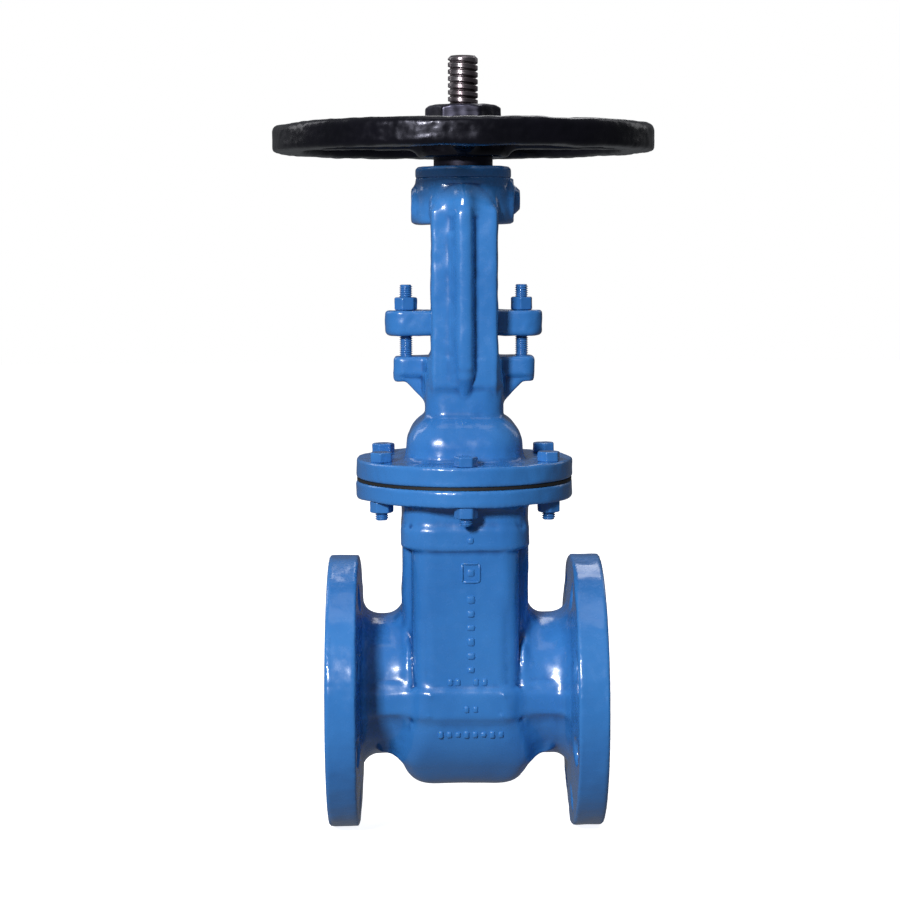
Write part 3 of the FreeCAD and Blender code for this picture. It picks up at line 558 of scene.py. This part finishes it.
def rounded_casting(name, voxel, fills, edge, crisp=None, soft=None, core=None, extra=None):
    """A CAD solid as a cast shape. Masks and distances are functions of x, y and z in
    millimetres. fills are (ball radius, mask of where it rolls) for concave corners. edge is the
    radius of outer edges, apart from where crisp masks them. soft masks where the surface is
    smoothed, over a core, a distance from what counts as solid. extra is the distance from a
    shape that is added."""
    points, triangles = cad_surface(name)
    reach = max([radius for radius, _ in fills] + [edge]) + 4 * voxel
    grid = distance_grid(points, triangles, np.empty((0, 4), np.uint32), voxel, reach)
    margin = reach + 2 * voxel
    low = np.floor((points.min(axis=0) - margin) / voxel).astype(int)
    high = np.ceil((points.max(axis=0) + margin) / voxel).astype(int)
    size = tuple(int(n) for n in high - low + 1)
    corner = tuple(int(n) for n in low)
    axes = [(np.arange(size[i]) + low[i]) * (voxel / MM) for i in range(3)]
    x, y, z = np.meshgrid(*axes, indexing="ij", sparse=True)
    field = as_array(grid, corner, size)
    if extra is not None:
        field = np.minimum(field, at_cells(extra, x, y, z) * MM)
        grid = from_array(field, corner, voxel)
    for radius, mask in fills:
        closed = as_array(rolled(grid, radius, voxel), corner, size) + radius
        field = field + at_cells(mask, x, y, z) * (np.minimum(closed, field) - field)
    if soft is not None:
        solid = np.minimum(field, at_cells(core, x, y, z) * MM)
        field = field + at_cells(soft, x, y, z) * (blurred(solid, 3) - field)
    edged = as_array(rolled(from_array(field, corner, voxel), -edge, voxel), corner, size) - edge
    if crisp is not None:
        edged = edged + at_cells(crisp, x, y, z) * (field - edged)
    points, _, quads = from_array(edged, corner, voxel).convertToPolygons(isovalue=0.0)
    quads = quads.astype(np.int64)
    return points.astype(float), facing_out(points, quads)


def body_inside(x, y, z):
    """1 in the wedge's room and the ports, where nothing is rounded."""
    room = (1 - ramp(np.abs(x), 39.5, 41.5)) * (1 - ramp(np.abs(y), 52, 54))
    bore = 1 - ramp(np.sqrt(y * y + z * z), 44, 47)
    return 1 - (1 - room) * (1 - bore)


def body_corners(x, y, z):
    """Where small fillets fill the outer corners of the body, but not under its collar."""
    under_collar = ramp(z, 103, 106) * ramp(z, 113.5, 112.5)
    return (1 - body_inside(x, y, z)) * (1 - under_collar)


def body_bay(x, y, z):
    """Where larger fillets join each end flange to its nozzle and to the neck."""
    outside = ramp(np.abs(x), 44, 46.5) * ramp(np.abs(x), 79, 77)
    return outside * (1 - body_inside(x, y, z)) * ramp(z, 132, 120)


def body_shoulder(x, y, z):
    """Where the nozzles run into the neck and the bowl with the largest fillets."""
    beside = ramp(np.abs(x), 34, 38) * ramp(np.abs(x), 66, 60)
    low_or_front = np.maximum(ramp(z, 22, 8), ramp(np.abs(y), 36, 44))
    return beside * low_or_front * (1 - body_inside(x, y, z)) * ramp(z, 84, 62)


def body_soft(x, y, z):
    """The bowl below the belt, which is smooth all round, and the front and back of the neck
    where the nozzles run into it."""
    bowl = ramp(z, -11, -16) * ramp(np.abs(x), 74, 66)
    bowl = bowl * ramp(np.sqrt(y * y + (z + 11) ** 2), 50.5, 53)
    flank = ramp(z, 12.5, 16) * ramp(z, 78, 50) * ramp(np.abs(x), 24, 30)
    flank = flank * ramp(np.abs(x), 72, 64)
    nozzle = ramp(np.abs(x), 41, 43) * ramp(np.sqrt(y * y + z * z), 45.5, 47.5)
    nozzle = nozzle * ramp(np.abs(y), 20, 28)
    return np.maximum(bowl, flank * np.maximum(ramp(np.abs(y), 53, 55), nozzle))


def body_core(x, y, z):
    """Distance from a solid that fills the bowl and the wedge's room."""
    round_it = np.sqrt(y * y + (z + 11) ** 2) - 54
    bowl = np.maximum(np.maximum(np.abs(x) - 43, round_it), z)
    room = np.maximum(np.maximum(np.abs(x) - 41, np.abs(y) - 53), -z - 11)
    return np.minimum(bowl, room)


def body_rims(x, y, z):
    """The turned rims of the end flanges and the bonnet joint, whose edges are only broken."""
    ends = ramp(np.abs(x), 76, 77.5) * ramp(np.sqrt(y * y + z * z), 92, 94)
    joint = ramp(z, 142.5, 143.5) * ramp(np.sqrt(x * x + y * y), 74, 76)
    return np.maximum(ends, joint)


def body_skin(points):
    """Cast everywhere but on the machined faces and in the bores."""
    x, y, z = points.T / MM
    faces = ramp(np.abs(x), 99.4, 97.5) * ramp(z, 157.3, 155.5)
    bore = ramp(np.sqrt(y * y + z * z), 41, 45)
    inside = np.maximum(ramp(np.abs(x), 39.5, 41.0), ramp(np.abs(y), 52, 54))
    return faces * bore * np.maximum(inside, 0.3)


def add_body():
    """The body with its cast marks. The bottom of its bowl hangs a little lower than in the CAD."""
    fills = [(4.0 * MM, body_corners), (9.5 * MM, body_bay), (15.0 * MM, body_shoulder)]
    points, faces = rounded_casting("body", 1.5 * MM * COARSE, fills, 1.5 * MM, body_rims,
                                    body_soft, body_core)
    points = cast_skin(points, faces, body_skin, [(38 * MM, 0.3 * MM), (13 * MM, 0.11 * MM)], 11)
    x, _, z = points.T / MM
    points[:, 2] -= BOWL_SAG * ramp(z, -50, -64) * ramp(np.abs(x), 70, 58)
    add_piece("body_casting", points, faces, "housing", "blue_enamel", "body")
    add_cast_marks(points)


def raised_mark(x, y, z, half_x, half_z):
    """A soft-edged blank pad, centred x and z on the front, whose surface is at y there."""
    around, rings = 20, 9
    turn = np.arange(around) * 2 * math.pi / around
    lift = np.linspace(-0.5, 0.5, rings) * math.pi * 0.94
    angle, tilt = np.meshgrid(turn, lift)

    def squared(values, power):
        return np.sign(values) * np.abs(values) ** power

    ring = squared(np.cos(tilt), 0.7)
    points = np.stack([x + half_x * ring * squared(np.cos(angle), 0.55),
                       y - MARK_PROUD + MARK_HALF_Y * (1 - squared(np.sin(tilt), 0.7)),
                       z + half_z * ring * squared(np.sin(angle), 0.55)], axis=-1).reshape(-1, 3)
    caps = [(ring + i, ring + i + 1, ring + around - 2 - i, ring + around - 1 - i)
            for ring in (0, (rings - 1) * around) for i in range(around // 2 - 1)]
    return points, facing_out(points, np.vstack([wall(rings, around), caps]))


def add_cast_marks(body_points):
    """Plain raised foundry marks down the front: blank pads and a small square, no letters."""
    front = body_points[(body_points[:, 1] < -35 * MM) & (np.abs(body_points[:, 0]) < 40 * MM)]

    def surface(x, z):
        near = front[np.hypot(front[:, 0] - x, front[:, 2] - z) < 2.5 * MM, 1]
        return np.median(near[near < near.min() + 1.5 * MM])

    centre = 3.4
    marks = [(centre, 119.5, 2.4, 2.6)]
    for i in range(6):
        marks.append((centre, 76.5 - 10.2 * i, 3.2 - 0.4 * (i % 2), 3.3 - 0.5 * (i % 3)))
    for offset in (-6.2, 6.2):
        marks.append((centre + offset, 96.0, 1.1, 7.2))
        marks.append((centre, 96.0 + offset * 1.08, 6.6, 1.1))
    marks.append((centre, 96.0, 2.9, 3.1))
    for offset in (-15.0, -9.6, 3.6, 9.8):
        marks.append((centre + offset, 16.6, 2.1, 2.9))
    marks += [(centre - 3.4, -2.6, 2.1, 2.8), (centre + 3.0, -2.6, 2.1, 2.5)]
    for i in range(8):
        marks.append((centre - 22.0 + 6.2 * i, -22.0, 2.1, 3.1 - 0.5 * (i % 3)))
    shells = [raised_mark(x * MM, surface(x * MM, z * MM), z * MM, half_x * MM, half_z * MM)
              for x, z, half_x, half_z in marks]
    points, faces = joined(shells)
    add_piece("cast_marks", points, faces, "housing", "blue_enamel")


def bonnet_lugs(x, y, z):
    """1 around the stud lugs and their gussets, which stay crisp."""
    return ramp(np.abs(x), 28, 31) * ramp(z, 208, 213) * ramp(z, 300, 290)


def bonnet_webs(x, y, z):
    """Where the dome meets its flange, each rib one side of its arm, and each arm the head."""
    radius = np.sqrt(x * x + y * y)
    neck = ramp(z, 176, 180) * ramp(z, 192, 186) * ramp(radius, 20, 24)
    arms = ramp(np.abs(y), 24, 28) * ramp(np.abs(x), 31, 27) * ramp(z, 208, 212)
    head = ramp(z, 350, 354)
    rib = np.maximum(ramp(z, 342, 338) * ramp(x * np.sign(y), -5, -1), head)
    rib = rib * np.maximum(ramp(np.abs(y), 36.5, 38), head)
    arms = arms * ramp(z, 378, 374) * rib
    return np.maximum(neck, arms) * (1 - bonnet_lugs(x, y, z))


def bonnet_corners(x, y, z):
    """Where the bonnet's other corners get a small fillet. The other side of each rib from its
    web stays sharp."""
    radius = np.sqrt(x * x + y * y)
    outside = ramp(radius, 25.5, 27.5) * ramp(z, 165, 168)
    steep = ramp(x * np.sign(y), 1, -2) * ramp(np.abs(y), 29, 32) * ramp(np.abs(x), 17, 14)
    steep = steep * ramp(z, 211, 216) * ramp(z, 362, 352)
    return outside * (1 - steep) * (1 - bonnet_lugs(x, y, z))


def bonnet_rims(x, y, z):
    """The joint flange's rim and the top of the yoke head, whose edges are only broken."""
    joint = ramp(z, 176.5, 175.5) * ramp(np.sqrt(x * x + y * y), 74, 76)
    return np.maximum(joint, ramp(z, 376.5, 378))


def bonnet_crown(x, y, z):
    """The tops of the yoke arms, which melt into the head."""
    arms = ramp(np.abs(y), 29.5, 31) * ramp(np.abs(x), 33, 30)
    return arms * ramp(z, 354, 359) * ramp(z, 377, 375)


def bonnet_core(x, y, z):
    """Distance from a solid that fills the yoke head."""
    return np.maximum(np.maximum(np.sqrt(x * x + y * y) - 30, 345 - z), z - 379)


def rib_tails(x, y, z):
    """Distance from the tapered lower end of the rib on each yoke arm."""
    low, high = np.array([31.5, 216.5]), np.array([40.2, 237.0])
    along = high - low
    away_y, away_z = np.abs(y) - low[0], z - low[1]
    t = np.clip((away_y * along[0] + away_z * along[1]) / (along @ along), 0.0, 1.0)
    radius = 2.4 + 4.4 * t
    return np.sqrt(x * x + (away_y - t * along[0]) ** 2 + (away_z - t * along[1]) ** 2) - radius


def bonnet_skin(points):
    """Cast everywhere but on the joint face, the top of the head and in the bores."""
    x, y, z = points.T / MM
    radius = np.sqrt(x * x + y * y)
    machined = ramp(z, 160.2, 163) * ramp(z, 379.3, 377)
    return machined * ramp(radius, 24.6, 27)


def add_bonnet():
    """The bonnet with its yoke. The ribs on its arms run further down than in the CAD."""
    fills = [(3.0 * MM, bonnet_corners), (1.2 * MM, bonnet_lugs), (6.0 * MM, bonnet_webs)]
    points, faces = rounded_casting("bonnet", 1.15 * MM * COARSE, fills, 1.3 * MM, bonnet_rims,
                                    bonnet_crown, bonnet_core, rib_tails)
    points = cast_skin(points, faces, bonnet_skin, [(30 * MM, 0.28 * MM), (10 * MM, 0.1 * MM)], 23)
    add_piece("bonnet_casting", points, faces, "housing", "blue_enamel", "bonnet")


def everywhere(x, y, z):
    """A mask that is 1 at every cell."""
    return np.ones_like(x * y * z)


def all_over(points):
    """A mask that is 1 at every point."""
    return np.ones(len(points))


def add_gland_flange():
    """The flange that presses the packing, left smooth in its bore."""
    def skin(points):
        x, y, _ = points.T / MM
        return ramp(np.sqrt(x * x + y * y), 13, 16)

    points, faces = rounded_casting("gland_flange", 0.8 * MM * COARSE, [(3.0 * MM, everywhere)],
                                    1.4 * MM)
    points = cast_skin(points, faces, skin, [(18 * MM, 0.2 * MM), (7 * MM, 0.08 * MM)], 31)
    add_piece("gland_casting", points, faces, "gland", "blue_enamel", "gland_flange")


def add_retainer():
    """The ring on top of the yoke head."""
    points, faces = rounded_casting("sleeve_retainer", 0.7 * MM * COARSE, [], 0.5 * MM)
    points = cast_skin(points, faces, all_over, [(14 * MM, 0.1 * MM)], 37)
    add_piece("retainer_ring", points, faces, "housing", "blue_enamel", "sleeve_retainer")


def add_packing():
    """The packing rings, on a mesh of their own."""
    points, faces = rounded_casting("packing_rings", 0.5 * MM * COARSE, [], 0.5 * MM)
    piece = add_piece("packing_stack", points, faces, "housing", "graphite", "packing_rings")
    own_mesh(piece)


def add_handwheel():
    """The wheel, cast all over but in its bore."""
    def joints(x, y, z):
        return ramp(np.sqrt(x * x + y * y), 24, 27)

    def skin(points):
        x, y, _ = points.T / MM
        return ramp(np.sqrt(x * x + y * y), 18.5, 22)

    points, faces = rounded_casting("handwheel", 1.2 * MM * COARSE, [(6.0 * MM, joints)],
                                    1.6 * MM)
    layers = [(45 * MM, 0.4 * MM), (12 * MM, 0.13 * MM), (5 * MM, 0.06 * MM)]
    points = cast_skin(points, faces, skin, layers, 41)
    add_piece("wheel_casting", points, faces, "wheel", "black_enamel", "handwheel")


def add_wedge():
    """The wedge, with fillets at its guides and smooth seats for its face rings."""
    def guides(x, y, z):
        return ramp(np.abs(y), 23, 24.5) * ramp(np.abs(y), 44, 42)

    def skin(points):
        _, y, z = points.T / MM
        return 0.6 * ramp(np.sqrt(y * y + z * z), 40, 37)

    points, faces = rounded_casting("wedge", 1.1 * MM * COARSE, [(2.5 * MM, guides)], 1.1 * MM)
    points = cast_skin(points, faces, skin, [(16 * MM, 0.25 * MM), (6 * MM, 0.1 * MM)], 47)
    add_piece("wedge_casting", points, faces, "gate", "grey_iron", "wedge")


# ---------------------------------------------------------------- threads

def ramp_linear(values, low, high):
    """0 below low, 1 above high and straight between; high may be the lower."""
    return np.clip((values - low) / (high - low), 0.0, 1.0)


def thread_shape(phase, crest):
    """Depth of a trapezoidal thread, 0 on its crest to 1 at its root, for a phase in turns."""
    away = np.abs((phase % 1.0) - 0.5) * 2.0
    flank = 0.2
    return 1.0 - ramp_linear(away, 1.0 - crest - flank, 1.0 - crest)


def thread_rod(radius_at, low, high, step, around, x=0.0, y=0.0):
    """A closed rod whose radius is a function of angle and height."""
    heights = np.linspace(low, high, max(2, int(round((high - low) / step)) + 1))
    angles = np.arange(around) * 2 * math.pi / around
    angle, height = np.meshgrid(angles, heights)
    radius = radius_at(angle, height)
    points = np.stack([x + radius * np.cos(angle), y + radius * np.sin(angle), height], axis=-1)
    return capped(points.reshape(-1, 3), wall(len(heights), around), around, x, y)


def wall(rings, around):
    """Quads between rings of points, each ring anticlockwise and the lowest first."""
    row, column = np.meshgrid(np.arange(rings - 1), np.arange(around), indexing="ij")
    after = (column + 1) % around
    return np.stack([row * around + column, row * around + after, (row + 1) * around + after,
                     (row + 1) * around + column], axis=-1).reshape(-1, 4)


def capped(points, faces, around, x, y):
    """Closes both ends of a rod with quads that meet at its axis."""
    rings = len(points) // around
    ends, caps = [], []
    for ring in (0, rings - 1):
        centre = len(points) + len(ends)
        ends.append((x, y, points[ring * around, 2]))
        first = ring * around + np.arange(0, around, 2)
        middle = ring * around + np.arange(1, around, 2)
        last = ring * around + (np.arange(0, around, 2) + 2) % around
        quad = np.stack([first, middle, last, np.full(len(first), centre)], axis=-1)
        caps.append(quad if ring else quad[:, ::-1])
    return np.vstack([points, np.array(ends)]), np.vstack([faces] + caps)


def stem_radius(angle, height):
    """The stem's outline: head shank, backseat collar, smooth shank and left-hand thread."""
    tip_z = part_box("stem")[1].z
    phase = height / STEM_PITCH + angle / (2 * math.pi)
    depth = STEM_THREAD_DEPTH * thread_shape(phase, 0.6)
    depth = depth * ramp(height, STEM_THREAD_START, STEM_THREAD_START + 4.0 * MM)
    depth = depth * ramp(height, tip_z - 2.0 * MM, tip_z - 4.5 * MM)
    radius = STEM_RADIUS - depth
    radius = np.minimum(radius, STEM_RADIUS - STEM_TIP + np.maximum(tip_z - height, 0.0))
    collar = np.minimum(ramp_linear(height, 103.5 * MM, 105.5 * MM),
                        ramp_linear(height, 112.5 * MM, 108.5 * MM))
    neck = ramp_linear(height, 81.5 * MM, 79.0 * MM)
    return radius + 4.0 * MM * collar - 2.3 * MM * neck


def cut_box(half, low, high, cut):
    """A closed square block with its upright corners cut off."""
    corners = [(half - cut, -half), (half, cut - half), (half, half - cut), (half - cut, half)]
    outline = corners + [(-x, -y) for x, y in corners]
    points = np.array([(x, y, z) for z in (low, high) for x, y in outline])
    return capped(points, wall(2, len(outline)), len(outline), 0.0, 0.0)


def add_stem():
    """The stem with its T-head, which hangs in the wedge."""
    low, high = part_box("stem")
    head_top = low.z + STEM_HEAD_HEIGHT
    shank = thread_rod(stem_radius, head_top - 0.5 * MM, high.z, 0.25 * MM * COARSE, 56)
    head = cut_box(STEM_HEAD_HALF, low.z, head_top, 2 * MM)
    points, faces = joined([shank, head])
    add_piece("stem_thread", points, faces, "gate", "stem_steel", "stem")


def bolt_thread(low, high, start, end):
    """The outline of a right-hand bolt from low to high with thread from start to end."""
    fade = 0.8 * MM

    def radius_at(angle, height):
        phase = height / BOLT_PITCH - angle / (2 * math.pi)
        cut = np.minimum(ramp(height, start - fade, start), ramp(height, end + fade, end))
        radius = BOLT_RADIUS - BOLT_THREAD_DEPTH * thread_shape(phase, 0.3) * cut
        radius = np.minimum(radius, BOLT_RADIUS - BOLT_TIP + np.maximum(high - height, 0.0))
        return np.minimum(radius, BOLT_RADIUS - BOLT_TIP + np.maximum(height - low, 0.0))

    return radius_at


# ---------------------------------------------------------------- hexagon nuts and heads

def smooth_max(first, second, blend):
    """The larger of two fields, rounded where they cross."""
    share = np.clip(0.5 + 0.5 * (first - second) / blend, 0.0, 1.0)
    return second + (first - second) * share + blend * share * (1.0 - share)


def hexagon(across, low, high, spin, bore=0.0, edge=0.9 * MM, chamfers=(False, True),
            voxel=0.4 * MM, slope=30.0, top_face=0.49):
    """A hexagon standing on the origin's axis with soft, painted edges. chamfers says whether
    the corners of its lower and upper end are turned off, at a slope down to a face with a radius
    of top_face times its width across flats."""
    corner = across / math.sqrt(3)
    voxel = voxel * COARSE
    pad = 3 * voxel
    half = int(math.ceil((corner + pad) / voxel))
    first, last = int(math.floor((low - pad) / voxel)), int(math.ceil((high + pad) / voxel))
    side = np.arange(-half, half + 1) * voxel
    rise = np.arange(first, last + 1) * voxel
    x, y, z = np.meshgrid(side, side, rise, indexing="ij", sparse=True)
    field = None
    for i in range(6):
        angle = math.radians(60 * i + 30 + spin)
        plane = x * math.cos(angle) + y * math.sin(angle) - across / 2
        field = plane if field is None else smooth_max(field, plane, edge)
    field = smooth_max(field, z - high, edge)
    field = smooth_max(field, low - z, edge)
    radius = np.sqrt(x * x + y * y)
    slope = math.radians(slope)
    for wanted, away in zip(chamfers, (z - low, high - z)):
        if wanted:
            cone = (radius - across * top_face) * math.sin(slope) - away * math.cos(slope)
            field = smooth_max(field, cone, edge * 0.4)
    if bore > 0:
        field = smooth_max(field, bore - radius, edge * 0.5)
    grid = from_array(field.astype(np.float32), (-half, -half, first), voxel)
    points, _, quads = grid.convertToPolygons(isovalue=0.0)
    quads = quads.astype(np.int64)
    return points.astype(float), facing_out(points, quads)


def shifted(shell, x, y=0.0):
    """The shell moved sideways."""
    points, faces = shell
    return points + np.array([x, y, 0.0]), faces


def joint_places():
    """Centres of the six bolts of the bonnet joint, one of them in front."""
    angles = [math.radians(60 * i - 90) for i in range(6)]
    return [(JOINT_BOLT_CIRCLE * math.cos(a), JOINT_BOLT_CIRCLE * math.sin(a)) for a in angles]


def add_joint_fasteners():
    """Bolts and nuts of the bonnet joint, each left at its own angle, under one coat of paint."""
    bolt_low, bolt_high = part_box("bonnet_bolts")
    nut_low, nut_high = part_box("bonnet_nuts")
    seat = bolt_high.z - BOLT_HEAD_HEIGHT
    thread = bolt_thread(bolt_low.z, bolt_high.z, bolt_low.z, nut_low.z + 2 * MM)
    bolts, nuts = [], []
    for i, (x, y) in enumerate(joint_places()):
        shank = thread_rod(thread, bolt_low.z, seat + 1 * MM, 0.16 * MM * COARSE, 24, x, y)
        head = shifted(hexagon(HEX_ACROSS, seat - 0.2 * MM, bolt_high.z, 17 * i), x, y)
        bolts += [shank, head]
        nut = hexagon(HEX_ACROSS, nut_low.z, nut_high.z + 0.2 * MM, -23 * i,
                      bore=BOLT_RADIUS - 0.3 * MM, chamfers=(True, False))
        nuts.append(shifted(nut, x, y))
    for name, shells, replaced in (("joint_bolts", bolts, "bonnet_bolts"),
                                   ("joint_nuts", nuts, "bonnet_nuts")):
        points, faces = joined(shells)
        points = cast_skin(points, faces, all_over, [(6 * MM, 0.07 * MM)], 53)
        add_piece(name, points, faces, "housing", "blue_fasteners", replaced)


def add_gland_fasteners():
    """Studs of the gland with their nuts."""
    low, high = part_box("gland_studs")
    reach = high.x - BOLT_RADIUS
    thread = bolt_thread(low.z, high.z, low.z, high.z)
    studs = [thread_rod(thread, low.z, high.z, 0.16 * MM * COARSE, 24, x) for x in (-reach, reach)]
    points, faces = joined(studs)
    add_piece("stud_pair", points, faces, "housing", "blue_fasteners", "gland_studs")
    for side, x, spin in (("left", -reach, 12.0), ("right", reach, 24.0)):
        nut_low, nut_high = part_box("gland_nut_" + side)
        shell = hexagon(HEX_ACROSS, nut_low.z, nut_high.z, spin, bore=BOLT_RADIUS - 0.2 * MM,
                        chamfers=(True, True))
        points, faces = shifted(shell, x)
        points = cast_skin(points, faces, all_over, [(6 * MM, 0.07 * MM)], 59)
        add_piece("gland_hex_" + side, points, faces, side + "_gland_nut", "blue_fasteners",
                  "gland_nut_" + side)


def add_wheel_nut():
    """The nut that holds the wheel on its sleeve."""
    low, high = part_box("wheel_nut")
    points, faces = hexagon(49.0 * MM, low.z, high.z, -4.4, bore=16.7 * MM, edge=1.6 * MM,
                            chamfers=(True, True), voxel=0.7 * MM)
    points = cast_skin(points, faces, all_over, [(9 * MM, 0.12 * MM)], 61)
    add_piece("wheel_hexagon", points, faces, "wheel", "blackened_steel", "wheel_nut")


def add_grease_plug():
    """The plug in the side of the yoke head, with corners up and down and a turned-off end."""
    low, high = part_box("grease_plug")
    middle = (low.z + high.z) / 2
    head = hexagon(19.5 * MM, PLUG_SEAT, high.x, 0.0, slope=47.0, top_face=0.36)
    shank = thread_rod(lambda angle, height: np.full_like(height, 6.0 * MM), low.x,
                       PLUG_SEAT + 1 * MM, 0.5 * MM, 32)
    points, faces = joined([head, shank])
    turned = np.stack([points[:, 2], points[:, 1], -points[:, 0] + middle], axis=-1)
    add_piece("plug_hexagon", turned, faces, "housing", "blue_fasteners", "grease_plug")


# ---------------------------------------------------------------- carried-over CAD nodes

def dress_cad_nodes():
    """Gives the CAD nodes that stay visible the finish of their material slot."""
    slots = {s["node"]: s["material_slot"] for s in frame["record"]["subparts"]}
    for name, thing in frame["nodes"].items():
        thing.data.materials.clear()
        thing.data.materials.append(MATERIALS[slots[name]])


add_world()
add_camera()
add_floor()
add_area_light("key", -23, 21, 2.0, 0.3, 0.3, 40.0)
add_area_light("rim_left", -118, 30, 2.0, 0.5, 1.2, 4.5)
add_area_light("rim_right", 128, 30, 2.0, 0.5, 1.2, 1.8)
add_area_light("back", 168, 48, 2.0, 0.8, 0.8, 6.0)
add_area_light("overhead", 0, 80, 1.8, 1.2, 1.0, 4.0)
dress_cad_nodes()
add_body()
add_bonnet()
add_gland_flange()
add_retainer()
add_packing()
add_handwheel()
add_wedge()
add_stem()
add_joint_fasteners()
add_gland_fasteners()
add_wheel_nut()
add_grease_plug()

bpy.context.scene.view_settings.view_transform = "Standard"
